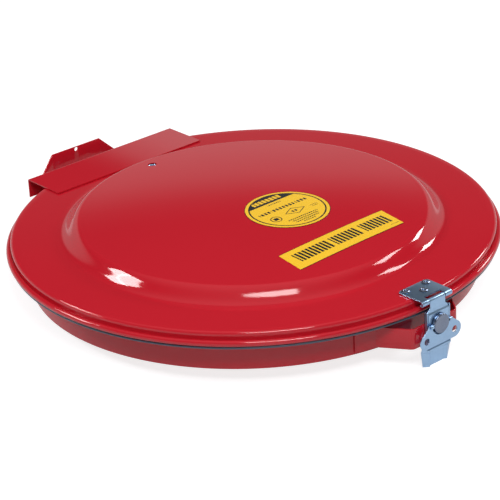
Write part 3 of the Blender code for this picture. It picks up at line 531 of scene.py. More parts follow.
def printed(name, centre, turn, marks, size=1.0):
    """Yellow film with black marks, placed in millimetres times size from the film's centre."""
    made = skinned(name, (0.96, 0.58, 0.028), (0.88, 0.52, 0.025), specular=0.4,
                   Patch_Size=40.0, Patch_Amount=0.3, Grain_Size=900.0,
                   Smooth=0.22, Rough=0.34, Relief=0.03)
    tree = made.node_tree
    place = next(n for n in tree.nodes if n.type == "TEX_COORD")
    group = next(n for n in tree.nodes if n.type == "GROUP")
    shader = tree.nodes["Principled BSDF"]
    shift = node(tree, "ShaderNodeMapping", vector_type="TEXTURE")
    shift.inputs["Location"].default_value = (centre[0] * MM, centre[1] * MM, 0)
    shift.inputs["Rotation"].default_value = (0, 0, math.radians(turn))
    shift.inputs["Scale"].default_value = (MM * size, MM * size, MM * size)
    tree.links.new(place.outputs["Object"], shift.inputs["Vector"])
    split = node(tree, "ShaderNodeSeparateXYZ")
    tree.links.new(shift.outputs["Vector"], split.inputs["Vector"])
    u, v = split.outputs["X"], split.outputs["Y"]
    ink = None
    for mark in marks:
        found = print_mark(tree, mark[0], u, v, *mark[1:])
        ink = found if ink is None else calc(tree, "MAXIMUM", ink, found)
    colour = blend_colour(tree, ink, group.outputs["Color"], INK)
    tree.links.new(colour, shader.inputs["Base Color"])
    return made


# %% The round film
PRINT_R = 54.4
SEGMENT_LOW, SEGMENT_R = 29.4, 49.7
round_low, round_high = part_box("decal_round")
ROUND = ((round_low.x + round_high.x) / 2 / MM, (round_low.y + round_high.y) / 2 / MM)
ROUND_R = (round_high.x - round_low.x) / 2 / MM
segment_bars = ("bars", (-2.0, 38.2), (23.5, 4.3), 6.0, 0.74)
round_print = printed("round film print", ROUND, 0.0, [
    ("ring", (0, 0), (48.7, 1.0)),
    ("ring", (0, 0), (54.2, 0.5)),
    ("bars", (-0.5, 24.4), (11.0, 1.1), 3.0, 0.6),
    ("bars", (-0.8, 8.2), (19.0, 2.9), 5.4, 0.6), ("bars", (30.0, 8.2), (9.0, 2.9), 5.4, 0.6),
    ("bars", (-31.0, 8.2), (9.0, 2.9), 5.4, 0.6),
    ("diamond", (3.9, -9.9), (17.0, 9.0)), ("bars", (3.9, -9.9), (5.0, 2.4), 5.2, 0.6),
    ("ring", (-30.6, -13.0), (7.0, 0.7)), ("box", (-30.6, -13.0), (3.4, 3.2)),
    ("bars", (1.0, -27.6), (25.0, 1.2), 3.4, 0.62), ("bars", (1.0, -32.2), (22.0, 1.2), 3.4, 0.62),
    ("bars", (1.0, -36.8), (19.0, 1.2), 3.4, 0.62), ("bars", (1.0, -41.2), (10.0, 1.1), 3.4, 0.62),
    ("bars", (33.6, -12.0), (6.5, 0.8), 2.6, 0.6), ("bars", (33.6, -15.6), (4.5, 0.8), 2.6, 0.6),
], size=ROUND_R / PRINT_R)
tree = round_print.node_tree
shader = tree.nodes["Principled BSDF"]
split = next(n for n in tree.nodes if n.type == "SEPXYZ")
u, v = split.outputs["X"], split.outputs["Y"]
far = calc(tree, "SQRT", calc(tree, "ADD", calc(tree, "POWER", u, 2.0), calc(tree, "POWER", v, 2.0)))
segment = calc(tree, "MULTIPLY", calc(tree, "GREATER_THAN", v, SEGMENT_LOW),
               calc(tree, "LESS_THAN", far, SEGMENT_R))
words = print_mark(tree, segment_bars[0], u, v, *segment_bars[1:])
segment = calc(tree, "MULTIPLY", segment, calc(tree, "SUBTRACT", 1.0, words))
old = shader.inputs["Base Color"].links[0].from_socket
dark = blend_colour(tree, segment, old, INK)
tree.links.new(dark, shader.inputs["Base Color"])

ring_steps, turn_steps = 12, 96
share = np.linspace(0, 1, ring_steps + 1)[1:, None]
turn = np.linspace(0, math.tau, turn_steps, endpoint=False)[None, :]
disc_x = np.concatenate([[ROUND[0]], (ROUND[0] + ROUND_R * share * np.cos(turn)).ravel()])
disc_y = np.concatenate([[ROUND[1]], (ROUND[1] + ROUND_R * share * np.sin(turn)).ravel()])
disc = [[a + 1 for a in f] for f in quads(ring_steps, turn_steps, column_loop=True)]
disc += [[0, 1 + (k + 1) % turn_steps, 1 + k] for k in range(turn_steps)]
rim_loop = [1 + (ring_steps - 1) * turn_steps + k for k in range(turn_steps)]
film("round_film", disc_x, disc_y, (disc, rim_loop), round_print, ["decal_round"])

# %% The strip film
strip_low, strip_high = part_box("decal_strip")
STRIP = ((strip_low.x + strip_high.x) / 2 / MM, (strip_low.y + strip_high.y) / 2 / MM)
STRIP_TURN = 1.26
STRIP_LONG, STRIP_WIDE = 186.4, 46.6
SLANT = 0.12
words = [("bars", (centre, 1.6), (half, 11.0), 6.2, 0.62)
         for centre, half in ((-50.0, 29.4), (8.0, 23.2), (61.5, 23.2))]
strip_print = printed("strip film print", STRIP, STRIP_TURN, [
    *words,
    ("box", (0, STRIP_WIDE / 2), (STRIP_LONG, 0.7)), ("box", (0, -STRIP_WIDE / 2), (STRIP_LONG, 0.7)),
    ("bars", (81.0, -16.0), (8.0, 0.7), 2.4, 0.5),
])
long_steps, wide_steps = 48, 14
a, b = np.meshgrid(np.linspace(-0.5, 0.5, long_steps + 1) * STRIP_LONG,
                   np.linspace(-0.5, 0.5, wide_steps + 1) * STRIP_WIDE)
a = a + SLANT * b
tilt = math.radians(STRIP_TURN)
strip_x = STRIP[0] + a * math.cos(tilt) - b * math.sin(tilt)
strip_y = STRIP[1] + a * math.sin(tilt) + b * math.cos(tilt)
wide_row = long_steps + 1
border = list(range(long_steps)) + [long_steps + k * wide_row for k in range(wide_steps)]
border += [wide_steps * wide_row + k for k in range(long_steps, 0, -1)]
border += [k * wide_row for k in range(wide_steps, 0, -1)]
film("strip_film", strip_x, strip_y, (quads(wide_steps + 1, wide_row), border), strip_print,
     ["decal_strip"])

# %% [markdown]
# ## The clamp ring and its brackets
# The ring is one strap in plan, a circle that is open at the back, where its ends turn outwards
# for a draw bolt. Both brackets are straps too, welded on with curved feet.

# %% Clamp ring
BAND_SHEET = 1.5
TAB_X, TAB_STEP = 5.75, 8.0
band_low, band_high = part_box("clamp_band")
band_mid = BAND_OUT - BAND_SHEET / 2
BAND_TOP, BAND_LOW = band_high.z / MM - BRIM_Z, band_low.z / MM - BRIM_Z
tab_end = band_high.y / MM
split_deg = math.degrees(math.asin(TAB_X / band_mid))
round_part = arc((0, 0), band_mid, 90 - split_deg, 90 + split_deg - 360, 300)
tab_x = round_part[0, 0]
start_tab = walk(bent([[tab_x, tab_end, 0], [tab_x, round_part[0, 1], 2.0], [*round_part[2], 0]]), 3)
end_tab = start_tab[::-1] * (-1, 1)
band_line = np.concatenate([start_tab[:-1], round_part[2:-2], end_tab[1:]])
outside = np.hypot(*band_line.T) - band_mid
band_top = np.where(outside > 0.6, BAND_TOP - TAB_STEP, BAND_TOP)
band = strap("clamp_ring", band_line, BAND_SHEET, BAND_LOW, band_top, ENAMEL, "drum_ring",
             stands_for=["clamp_band"], slot="red_enamel")

# %% Draw bolt with a thread, and its nut
BOLT_HOLE_R, BOLT_HEAD, PITCH = 4.3, 5.3, 1.25
bolt_low, bolt_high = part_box("band_bolt")
bolt_y = (bolt_low.y + bolt_high.y) / 2 / MM
bolt_z = (bolt_low.z + bolt_high.z) / 2 / MM - BRIM_Z
for side in (-1, 1):
    hole = turned("bolt_hole_tool", [[BOLT_HOLE_R, -6], [BOLT_HOLE_R, 6]], ENAMEL, "drum_ring", pole=True,
                  middle=(side * TAB_X, bolt_y, bolt_z), along="x", steps=24)
    cut(band, hole)


def hexagon(name, from_x, to_x, stands_for):
    """A six-sided body along x whose corners are turned away at both faces."""
    radius = (bolt_high.y - bolt_low.y) / 2 / MM
    angle = np.linspace(0, math.tau, 96, endpoint=False)
    flat = radius * math.cos(math.pi / 6) / np.cos((angle + math.pi / 6) % (math.pi / 3) - math.pi / 6)
    face = np.minimum(flat, radius * 0.93)
    rows = [(from_x, face - 0.6), (from_x + 0.3, face), (from_x + 0.9, flat), (to_x - 0.9, flat),
            (to_x - 0.3, face), (to_x, face - 0.6)]
    grid = np.stack([np.stack([np.full(96, x), bolt_y + r * np.cos(angle),
                               bolt_z + r * np.sin(angle)], -1) for x, r in rows])
    faces = quads(len(rows), 96, column_loop=True)
    faces += [list(range(96)), [(len(rows) - 1) * 96 + k for k in range(96)]]
    return outward(piece(name, grid, faces, ZINC, "drum_ring", stands_for, "zinc_plate", smooth=24))


head_from = bolt_low.x / MM
nut_low, nut_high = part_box("band_nut")
hexagon("draw_bolt_head", head_from, head_from + BOLT_HEAD, [])
hexagon("draw_nut", nut_low.x / MM, nut_high.x / MM, ["band_nut"])
thread_x = np.arange(head_from + 4.0, bolt_high.x / MM, PITCH / 4)
thread_r = 3.75 + 0.22 * np.cos(math.tau * (thread_x - thread_x[0]) / PITCH)
thread_r[-4:] = [3.7, 3.6, 3.4, 3.0]
turned("draw_bolt_shank", np.stack([thread_r, thread_x], 1), ZINC, "drum_ring", along="x",
       middle=(0, bolt_y, bolt_z), steps=36, pole=True, stands_for=["band_bolt"], slot="zinc_plate")

# %% Rear bracket: a hat-shaped strap whose middle rises to a tongue
STRAP = 2.0
rear_low, rear_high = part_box("rear_bracket")
wall_y = rear_high.y / MM - STRAP / 2
WALL_HALF, FOLD_HALF, FOLD_STEP = 43.5, 72.0, 7.0
FOOT_ANGLE, REAR_LANDING, FRONT_LANDING = 5.5, 104.0, 65.0
LINK_HOLE_R, LINK_HOLE_DROP = 3.2, 4.0
STRAP_TOP, WALL_TOP, REAR_BOTTOM = -33.0, rear_high.z / MM - BRIM_Z, rear_low.z / MM - BRIM_Z
foot_r = BAND_OUT + 0.35 + STRAP / 2


def foot(landing_x, toward, side):
    """The curved end of a bracket, which lies on the ring from its landing outwards."""
    first = math.degrees(math.asin(landing_x / foot_r))
    return arc((0, 0), foot_r, toward + side * first, toward + side * (first + FOOT_ANGLE), 8)


rear_foot = foot(REAR_LANDING, 90, -1)
rear_line = bent([[*rear_foot[0], 0], [FOLD_HALF, wall_y - FOLD_STEP, 4.0],
                  [WALL_HALF, wall_y, 3.0], [-WALL_HALF, wall_y, 3.0],
                  [-FOLD_HALF, wall_y - FOLD_STEP, 4.0], [*(rear_foot[0] * (-1, 1)), 0]])
rear_line = np.concatenate([rear_foot[:0:-1], walk(rear_line, 2.0), (rear_foot * (-1, 1))[1:]])
shoulder = (FOLD_HALF - np.abs(rear_line[:, 0])) / (FOLD_HALF - WALL_HALF)
rear_top = STRAP_TOP + (WALL_TOP - STRAP_TOP) * np.clip(shoulder, 0, 1)
rear_top = np.where(rear_line[:, 1] < wall_y - FOLD_STEP - 3, STRAP_TOP, rear_top)
rear = strap("rear_strap", rear_line, STRAP, REAR_BOTTOM, rear_top, ENAMEL, "drum_ring",
             stands_for=["rear_bracket"], slot="red_enamel")
cut(rear, turned("link_hole_tool", [[LINK_HOLE_R, -8], [LINK_HOLE_R, 8]], ENAMEL, "drum_ring",
                 pole=True, middle=(0, wall_y, WALL_TOP - LINK_HOLE_DROP), along="y", steps=32))

# %% Front bracket: a hat-shaped strap with round corners
front_low, front_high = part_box("front_bracket")
FRONT_TOP, FRONT_BOTTOM = front_high.z / MM - BRIM_Z, front_low.z / MM - BRIM_Z
FACE_HALF, CORNER = 38.0, 8.0
face_y = -(FACE_OUT - STRAP / 2)
front_foot = foot(FRONT_LANDING, -90, 1)
front_line = bent([[*front_foot[0], 0], [FACE_HALF, face_y, CORNER], [-FACE_HALF, face_y, CORNER],
                   [*(front_foot[0] * (-1, 1)), 0]])
front_line = np.concatenate([front_foot[:0:-1], walk(front_line, 2.0), (front_foot * (-1, 1))[1:]])
strap("front_strap", front_line, STRAP, FRONT_BOTTOM, FRONT_TOP, ENAMEL, "drum_ring",
      stands_for=["front_bracket"], slot="red_enamel")

# %% [markdown]
# ## The hinge
# A wide plate is welded on the brim and its rear flange hides the hinge. Two lugs stand up from
# the ring, and a short pin through each carries the lid.

# %% Hinge plate with its notched flange
LUG_X, NOTCH_HALF, NOTCH_RISE = 84.0, 2.1, 5.0
LUG_EYE_R, LUG_BORE_R = 4.5, 2.3
plate_low, plate_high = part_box("hinge_plate")
PLATE_HALF = plate_high.x / MM
plate_top = plate_high.z / MM - BRIM_Z
plate_front, plate_rear = plate_low.y / MM, plate_high.y / MM
plate_line = bent([[-plate_front, plate_top - 0.9, 0], [-plate_rear + 0.9, plate_top - 0.9, 2.0],
                   [-plate_rear + 0.9, plate_low.z / MM - BRIM_Z, 0]])
plate = strap("hinge_cover_plate", walk(plate_line, 4.0), 1.8, -PLATE_HALF, PLATE_HALF, ENAMEL,
              "cover", seen="side", edge=0.3, stands_for=["hinge_plate"], slot="red_enamel")
notch_top = HINGE_Z + NOTCH_RISE
for side in (-1, 1):
    notch = np.array([[-NOTCH_HALF, -40], [NOTCH_HALF, -40], [NOTCH_HALF, notch_top],
                      [-NOTCH_HALF, notch_top]])
    tool = pressing("notch_tool", notch + (side * LUG_X, 0), [], -plate_rear - 4, -plate_rear + 5,
                    ENAMEL, "cover", edge=0.02)
    cut(plate, tool)

# %% Lugs, pins and clevises
for name, side in (("left", -1), ("right", 1)):
    low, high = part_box(f"hinge_lug_{name}")
    y0, y1 = low.y / MM, high.y / MM
    z0 = low.z / MM - BRIM_Z
    eye = arc((HINGE_Y, HINGE_Z), LUG_EYE_R, 0, 180, 20)
    outline = np.concatenate([[[y0, z0]], arc((y1 - 8, z0 + 8), 8, -90, 0, 8), eye,
                              [[HINGE_Y - LUG_EYE_R, -29.0], [HINGE_Y - 6.5, -31.0], [y0, -31.0]]])
    bore = arc((HINGE_Y, HINGE_Z), LUG_BORE_R, 0, 345, 23)
    pressing(f"lug_{name}", outline, [bore], low.x / MM, high.x / MM, ENAMEL, "drum_ring",
             seen="side", stands_for=[f"hinge_lug_{name}"], slot="red_enamel")
    low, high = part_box(f"hinge_pin_{name}")
    x0, x1 = low.x / MM, high.x / MM
    pin = [[1.4, x0], [2.0, x0 + 0.5], [2.0, x1 - 0.5], [1.4, x1]]
    turned(f"pin_{name}", pin, ZINC, "cover", along="x", middle=(0, HINGE_Y, HINGE_Z), pole=True,
           stands_for=[f"hinge_pin_{name}"], slot="zinc_plate")
    frame["nodes"][f"hinge_clevis_{name}"].data.materials[0] = ENAMEL

# %% [markdown]
# ## The latch
# A keeper plate on the brim curls down round a bar. A link hooks over the bar, and a cam on a
# spindle pulls the link down. The butterfly wing is pinned through the spindle's head. It is
# held by hand to turn the spindle, and it folds flat. Its two holes take a padlock.

# %% Keeper, its bar and its rivets
keeper_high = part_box("latch_keeper")[1]
KEEPER_HALF = keeper_high.x / MM
KEEPER_SHEET = 1.6
CORNER_R = 4.0
keeper_back = -keeper_high.y / MM
keeper_level = keeper_high.z / MM - BRIM_Z - KEEPER_SHEET / 2
curl = arc((BAR_AT, BAR_Z), keeper_level - BAR_Z, 88, -130, 30)
keeper_line = np.concatenate([walk(np.array([[keeper_back, keeper_level],
                                             [BAR_AT - 1.0, keeper_level]]), 1.5), curl])
behind = np.clip(CORNER_R - (keeper_line[:, 0] - keeper_back), 0, CORNER_R)
keeper_half = KEEPER_HALF - (CORNER_R - np.sqrt(CORNER_R ** 2 - behind ** 2))
SLOT_HALF, SLOT_BACK = 13.9, 7.7
keeper = strap("keeper_plate", keeper_line, KEEPER_SHEET, -keeper_half, keeper_half, ZINC, "cover",
               seen="side", edge=0.3, stands_for=["latch_keeper"], slot="zinc_plate")
slot_shape = bent([[-SLOT_HALF, -14, 0], [-SLOT_HALF, 7.0, 0], [SLOT_HALF, 7.0, 0],
                   [SLOT_HALF, -14, 0]])
tool = pressing("slot_tool", slot_shape, [], BAR_AT - SLOT_BACK, BAR_AT + 12, ZINC, "cover", edge=0.02)
cut(keeper, tool)
bar_low, bar_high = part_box("keeper_bar")
bar = [[1.2, bar_low.x / MM], [1.6, bar_low.x / MM + 0.5], [1.6, bar_high.x / MM - 0.5],
       [1.2, bar_high.x / MM]]
turned("keeper_rod", bar, ZINC, "cover", along="x", middle=(0, -BAR_AT, BAR_Z), pole=True,
       steps=32, stands_for=["keeper_bar"], slot="zinc_plate")
for number in (1, 2, 3):
    low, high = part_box(f"keeper_rivet_{number}")
    at = ((low.x + high.x) / 2 / MM, (low.y + high.y) / 2 / MM, 0)
    head = high.z / MM - BRIM_Z
    tail = low.z / MM - BRIM_Z
    rivet = np.concatenate([
        [[2.4, tail], [2.9, tail + 0.5], [2.9, -1.6], [2.4, -1.5], [2.4, head - 1.5],
         [5.3, head - 1.5], [5.6, head - 1.3], [5.4, head - 0.9]],
        arc((3.4, head - 1.1), 1.1, 40, 120, 6) + (0.3, 0),
        [[2.6, head - 0.5], [2.3, head - 1.0], [2.1, head - 2.6], [0.4, head - 2.8]]])
    turned(f"pop_rivet_{number}", rivet, STEEL, "cover", middle=at, pole=True, steps=40,
           stands_for=[f"keeper_rivet_{number}"], slot="zinc_plate")

# %% [markdown]
# The base is one pressing: a channel that guides the link, then a ledge, then a tapering tail.
# It is a loft, a row of open sections joined from top to bottom and given the sheet's thickness.
# Each section has six bends, worked out for its own height, and the ledge is half an ellipse.

# %% Latch base
BASE_SHEET = 1.5
base_mid = FACE_OUT + 0.35 + BASE_SHEET / 2
CHANNEL = 19.45
ledge = FACE_OUT + 7.2 - BASE_SHEET / 2
RIDGE_Z, RIDGE_HALF, TAIL_END = -66.0, 2.9, -90.0
# each row: height, then half-width and depth at the flat's edge, the fold and the outer edge
corners = np.array([
    [-14.0, CHANNEL - 2, base_mid, CHANNEL, base_mid, CHANNEL, base_mid + 3.6],
    [-15.0, CHANNEL - 2, base_mid, CHANNEL, base_mid, CHANNEL, base_mid + 4.6],
    [-56.0, CHANNEL - 2, base_mid, CHANNEL, base_mid, CHANNEL, base_mid + 4.6],
    [-58.5, CHANNEL - 2, base_mid, CHANNEL, base_mid, CHANNEL + 0.6, base_mid + 4.4],
    [-60.5, CHANNEL - 2, base_mid + 0.3, CHANNEL, base_mid + 0.3, CHANNEL + 3.0, base_mid + 2.0],
    [-63.1, CHANNEL - 2, base_mid + 0.8, CHANNEL, base_mid + 0.8, CHANNEL + 6.0, base_mid],
    [-68.9, CHANNEL - 4, base_mid + 0.8, CHANNEL - 1, base_mid + 1.6, CHANNEL + 6.5, base_mid - 1.2],
    [-71.0, 12.6, base_mid + 0.5, 16.2, base_mid + 2.8, CHANNEL + 6.0, base_mid - 1.4],
    [TAIL_END, 12.2, base_mid + 0.4, 15.4, base_mid + 2.6, 21.95, base_mid - 2.6]])
row_z = np.concatenate([np.linspace(-14, -63.1, 16), np.linspace(-63.1, -68.9, 15)[1:],
                        np.linspace(-68.9, TAIL_END, 12)[1:]])
row_z = np.unique(np.round(np.concatenate([row_z, corners[:, 0]]), 4))[::-1]
at_z = np.stack([np.interp(-row_z, -corners[:, 0], corners[:, k]) for k in range(1, 7)], 1)
bulge = np.sqrt(np.clip(1 - ((row_z - RIDGE_Z) / RIDGE_HALF) ** 2, 0, 1)) * (ledge - base_mid - 0.8)
rows = []
for z, swell, (flat, flat_d, fold, fold_d, side, side_d) in zip(row_z, bulge, at_z):
    right = [[flat, flat_d + swell], [fold, fold_d + swell], [side, side_d]]
    bends = np.array([[-x, d] for x, d in right[::-1]] + right)
    t = np.linspace(0, 5, 51)
    section = np.stack([np.interp(t, np.arange(6), bends[:, k]) for k in (0, 1)], 1)
    section[1:-1] = (section[:-2] + 2 * section[1:-1] + section[2:]) / 4
    rows.append(np.stack([section[:, 0], -section[:, 1], np.full(len(section), z)], 1))
rows = np.stack(rows)
base = piece("latch_back_plate", rows, quads(*rows.shape[:2]), ZINC, "drum_ring",
             ["latch_base"], "zinc_plate")
wall = base.modifiers.new("sheet", "SOLIDIFY")
wall.thickness = BASE_SHEET * MM
wall.offset = 0.0
soften = base.modifiers.new("edges", "BEVEL")
soften.width = 0.3 * MM
soften.segments = 2
soften.limit_method = "ANGLE"

for number in (1, 2, 3, 4):
    low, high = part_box(f"base_rivet_{number}")
    at = ((low.x + high.x) / 2 / MM, 0, (low.z + high.z) / 2 / MM - BRIM_Z)
    back, front = -high.y / MM, -low.y / MM
    rivet = np.concatenate([[[1.6, back], [2.5, back + 0.3], [2.5, back + 1.0], [1.6, back + 1.0],
                             [1.6, front - 1.0], [3.0, front - 1.0]],
                            arc((1.4, front - 1.0), 1.0, 20, 85, 5) + (0.7, 0)])
    turned(f"base_stud_{number}", rivet, STEEL, "drum_ring", middle=at, along="y", pole=True,
           steps=32, stands_for=[f"base_rivet_{number}"], slot="zinc_plate")

# %% Spindle: shaft, cam and head
SPIN_STEPS = 96
spindle_low, spindle_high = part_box("latch_spindle")
head_front = -spindle_low.y / MM
head_r = spindle_high.x / MM
HEAD_THICK = 5.3
head_back = head_front - HEAD_THICK
cam_back = base_mid + BASE_SHEET / 2 + 0.35
spindle_back = -spindle_high.y / MM
CAM_THROW = 3.2
CAM_Z = HUB_Z - CAM_THROW
# each row: radius, height of its centre, depth
stages = np.array([
    [3.2, HUB_Z, spindle_back], [3.2, HUB_Z, cam_back], [7.5, CAM_Z, cam_back],
    [7.8, CAM_Z, cam_back + 0.3], [7.8, CAM_Z, head_back], [head_r - 0.5, HUB_Z, head_back],
    [head_r, HUB_Z, head_back + 0.5], [head_r, HUB_Z, head_front - 1.0],
    [head_r - 0.25, HUB_Z, head_front - 0.45], [head_r - 0.7, HUB_Z, head_front - 0.12],
    [head_r - 1.3, HUB_Z, head_front], [head_r - 2.6, HUB_Z, head_front],
    [head_r - 2.9, HUB_Z, head_front - 0.15], [0.5, HUB_Z, head_front - 0.15]])
spin = np.linspace(0, math.tau, SPIN_STEPS, endpoint=False)
spin_x = stages[:, :1] * np.cos(spin)
spin_z = stages[:, 1:2] + stages[:, :1] * np.sin(spin)
spin_points = np.stack([spin_x, np.repeat(-stages[:, 2:], SPIN_STEPS, 1), spin_z], -1)
spin_faces = quads(len(stages), SPIN_STEPS, column_loop=True)
spin_faces += [list(range(SPIN_STEPS)), [(len(stages) - 1) * SPIN_STEPS + k for k in range(SPIN_STEPS)]]
outward(piece("spindle_head", spin_points, spin_faces, STEEL, "spindle", ["latch_spindle"],
              "zinc_plate"))
pin_low, pin_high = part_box("wing_pin")
pin = [[1.0, pin_low.x / MM], [1.4, pin_low.x / MM + 0.4], [1.4, pin_high.x / MM - 0.4],
       [1.0, pin_high.x / MM]]
turned("cross_pin", pin, STEEL, "spindle", along="x", middle=(0, -WING_AXIS, HUB_Z), pole=True,
       steps=28, stands_for=["wing_pin"], slot="zinc_plate")

# %% Draw link: a hooked plate
LINK_SHEET = 1.4
link_low, link_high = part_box("latch_link")
HOOK = 2.7
upper_depth = BAR_AT + HOOK
lower_depth = upper_depth + 1.5
link_end = link_low.z / MM - BRIM_Z
hook = arc((BAR_AT, BAR_Z), HOOK, 205, 0, 26)
link_line = np.concatenate([
    [[BAR_AT - HOOK + 0.2, BAR_Z - 2.4]], hook[1:],
    walk(bent([[upper_depth, BAR_Z - 0.5, 0], [upper_depth, -16.2, 1.2],
               [lower_depth, -18.2, 1.2], [lower_depth, link_end, 0]]), 1.0)])
NECK, WIDE = 13.1, link_high.x / MM
link_half = np.interp(-link_line[:, 1], [10.5, 14.5], [NECK, WIDE])
near_end = np.clip(CORNER_R - (link_line[:, 1] - link_end), 0, CORNER_R)
rounded = WIDE - (CORNER_R - np.sqrt(CORNER_R ** 2 - near_end ** 2))
link_half = np.where(link_line[:, 1] < -30, rounded, link_half)
link = strap("draw_link", link_line, LINK_SHEET, -link_half, link_half, ZINC, "link", seen="side",
             edge=0.3, stands_for=["latch_link"], slot="zinc_plate")
CAM_SLOT_R, CAM_SLOT_X = 9.0, 3.5
slot_line = np.concatenate([arc((CAM_SLOT_X, CAM_Z), CAM_SLOT_R, -90, 90, 16),
                            arc((-CAM_SLOT_X, CAM_Z), CAM_SLOT_R, 90, 270, 16)])
tool = pressing("cam_slot_tool", slot_line, [], upper_depth - 6, lower_depth + 6, ZINC, "link",
                edge=0.02)
cut(link, tool)

# %% Butterfly wing
WING_GAP, WING_SHEET = 1.8, 1.6
WING_BACK = lower_depth + LINK_SHEET / 2 + WING_GAP
EAR_X, EAR_Z, EAR_R, EAR_HOLE_R = 24.5, HUB_Z - 17.2, 10.8, 4.8
CUT_R = 15.0
right = np.concatenate([
    bent([[CUT_R + 0.1, HUB_Z - 4.0, 0], [CUT_R + 0.1, HUB_Z + 1.6, 1.2], [CUT_R + 4.2, HUB_Z + 1.6, 1.2],
          [CUT_R + 7.6, HUB_Z - 2.0, 3.0], [EAR_X + 5.1, EAR_Z + 9.5, 0]], steps=6)[1:-1],
    arc((EAR_X, EAR_Z), EAR_R, 62, -84, 30)])
left = right[::-1] * (-1, 1)
cut_line = arc((0, HUB_Z), CUT_R, 190, 350, 40)
wing_outline = np.concatenate([cut_line, right, left])
ears = [arc((side * EAR_X, EAR_Z), EAR_HOLE_R, 0, 350, 35) for side in (-1, 1)]
pressing("butterfly_wing", wing_outline, ears, WING_BACK, WING_BACK + WING_SHEET, ZINC, "wing",
         edge=0.4, stands_for=["latch_wing"], slot="zinc_plate")
for name, side in (("left", -1), ("right", 1)):
    ends = np.sort([side * 13.8, side * 18.6])
    eye = [[1.65, ends[0]], [2.4, ends[0]], [2.8, ends[0] + 0.4], [2.8, ends[1] - 0.4],
           [2.4, ends[1]], [1.65, ends[1]]]
    turned(f"wing_eye_{name}", eye, ZINC, "wing", along="x", middle=(0, -WING_AXIS, HUB_Z),
           steps=32, slot="zinc_plate")

# %% [markdown]
# ## Floor, light and camera
# The cover lies on its latch and its rear bracket, so it leans back a little and the floor is a
# plane through those two edges. A soft key light stands behind the camera. Four small softboxes
# make the highlights on the shoulder, and a sky that is dark high up keeps the enamel deep.

# %% Floor
# A light table is white and glows, so what stands on it keeps only a pale shadow. Most of the
# glow is left out of the light it throws back, or the undersides would be too bright, and about
# half is left out of reflections.
GLOW, HELD_BACK, HELD_IN_REFLECTIONS = 0.80, 0.74, 0.42
FLOOR_REACH, FLOOR_GAP = 9000.0, 0.4
latch_foot = np.array([-(base_mid + 0.6), TAIL_END])
rear_foot_point = np.array([wall_y + STRAP / 2, REAR_BOTTOM])
slope = (rear_foot_point[1] - latch_foot[1]) / (rear_foot_point[0] - latch_foot[0])
floor_x = np.array([-1, 1, 1, -1]) * FLOOR_REACH
floor_y = np.array([-1, -1, 1, 1]) * FLOOR_REACH
floor_z = latch_foot[1] + (floor_y - latch_foot[0]) * slope - FLOOR_GAP
floor_points = np.stack([floor_x, floor_y, floor_z], 1)
pale = skinned("pale floor", (0.42, 0.42, 0.43), (0.39, 0.39, 0.40), specular=0.1,
               Patch_Size=2.0, Patch_Amount=0.4, Grain_Size=60.0, Smooth=0.7, Rough=0.8, Relief=0.0)
tree = pale.node_tree
ray = node(tree, "ShaderNodeLightPath")
held = calc(tree, "ADD", calc(tree, "MULTIPLY", ray.outputs["Is Diffuse Ray"], HELD_BACK),
            calc(tree, "MULTIPLY", ray.outputs["Is Glossy Ray"], HELD_IN_REFLECTIONS))
glow = calc(tree, "SUBTRACT", GLOW, held)
tree.nodes["Principled BSDF"].inputs["Emission Color"].default_value = (1, 1, 1, 1)
tree.links.new(glow, tree.nodes["Principled BSDF"].inputs["Emission Strength"])
mesh = bpy.data.meshes.new("floor")
mesh.from_pydata(((floor_points + (0, 0, BRIM_Z)) * MM).tolist(), [], [[0, 1, 2, 3]])
mesh.materials.append(pale)
ground = bpy.data.objects.new("floor", mesh)
bpy.context.scene.collection.objects.link(ground)
print(f"floor leans {math.degrees(math.atan(slope)):.2f} degrees")


# %% Lights
def softbox(name, turn, lift, wide, tall, brightness, distance=3.0):
    """A lamp at a bearing from +Y towards +X and a height angle, facing the cover.

    Wide and tall are the angles it spans as seen from the cover, in degrees. Its power is its
    brightness times pi times its area, so a larger box is not a dimmer one.
    """
    width = 2 * distance * math.tan(math.radians(wide / 2))
    height = 2 * distance * math.tan(math.radians(tall / 2))
    lamp = bpy.data.lights.new(name, "AREA")
    lamp.shape = "RECTANGLE"
    lamp.size, lamp.size_y = width, height
    lamp.energy = brightness * math.pi * width * height
    made = bpy.data.objects.new(name, lamp)
    bpy.context.scene.collection.objects.link(made)
    a, e = math.radians(turn), math.radians(lift)
    away = Vector((math.sin(a) * math.cos(e), math.cos(a) * math.cos(e), math.sin(e)))
    made.location = away * distance
    made.rotation_euler = away.to_track_quat("Z", "Y").to_euler()
    print(f"{name}: {lamp.energy:.0f} W")


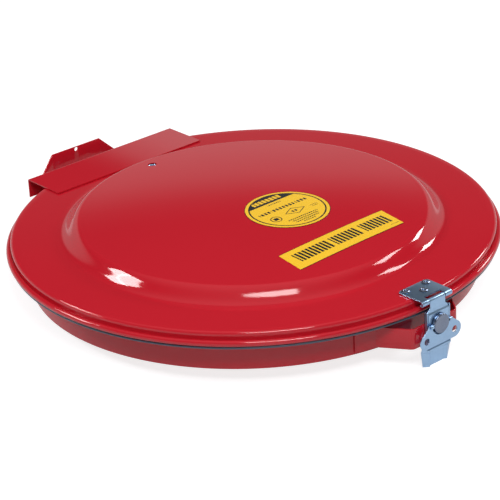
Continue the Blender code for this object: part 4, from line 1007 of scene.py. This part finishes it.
softbox("key", -150, 48, 24, 16, 13.0, distance=2.4)
softbox("left pane a", -39.5, 36, 9, 11, 16.0)
softbox("left pane b", -50.5, 36, 11, 11, 16.0)
softbox("right pane", 93, 26, 13, 7, 18.0)
softbox("right high pane", 114, 42, 20, 8, 13.0)

sky = bpy.data.worlds.new("studio")
bpy.context.scene.world = sky
sky.use_nodes = True
tree = sky.node_tree
view = node(tree, "ShaderNodeTexCoord")
split = node(tree, "ShaderNodeSeparateXYZ")
tree.links.new(view.outputs["Generated"], split.inputs["Vector"])
ramp = node(tree, "ShaderNodeValToRGB")
# each stop: the sine of the height angle, then the sky's brightness
stops = [(0.0, 0.40), (0.27, 0.50), (0.345, 0.38), (0.395, 0.12), (0.43, 0.06), (0.7, 0.10),
         (0.9, 0.45), (1.0, 0.60)]
while len(ramp.color_ramp.elements) < len(stops):
    ramp.color_ramp.elements.new(0.5)
for element, (position, grey) in zip(ramp.color_ramp.elements, stops):
    element.position = position
    element.color = (grey, grey, grey, 1)
tree.links.new(split.outputs["Z"], ramp.inputs["Fac"])
background = tree.nodes["Background"]
tree.links.new(ramp.outputs["Color"], background.inputs["Color"])
background.inputs["Strength"].default_value = 1.0

# %% Camera
AIM = Vector((-6.56, 0.0, BRIM_Z)) * MM
TURN, LIFT, ROLL = math.radians(-40.16), math.radians(24.513), math.radians(-3.044)
DISTANCE = 2.6512
lens = bpy.data.cameras.new("camera")
lens.lens = 142.45
lens.sensor_width = 36.0
lens.shift_x, lens.shift_y = 0.0018, -0.059
camera = bpy.data.objects.new("camera", lens)
bpy.context.scene.collection.objects.link(camera)
back = Vector((math.sin(TURN) * math.cos(LIFT), -math.cos(TURN) * math.cos(LIFT), math.sin(LIFT)))
camera.location = AIM + back * DISTANCE
level = back.to_track_quat("Z", "Y")
camera.rotation_mode = "QUATERNION"
camera.rotation_quaternion = level @ Quaternion((0, 0, 1), ROLL)
bpy.context.scene.camera = camera
bpy.context.scene.view_settings.view_transform = "Standard"
print("camera at", [round(c, 3) for c in camera.location])
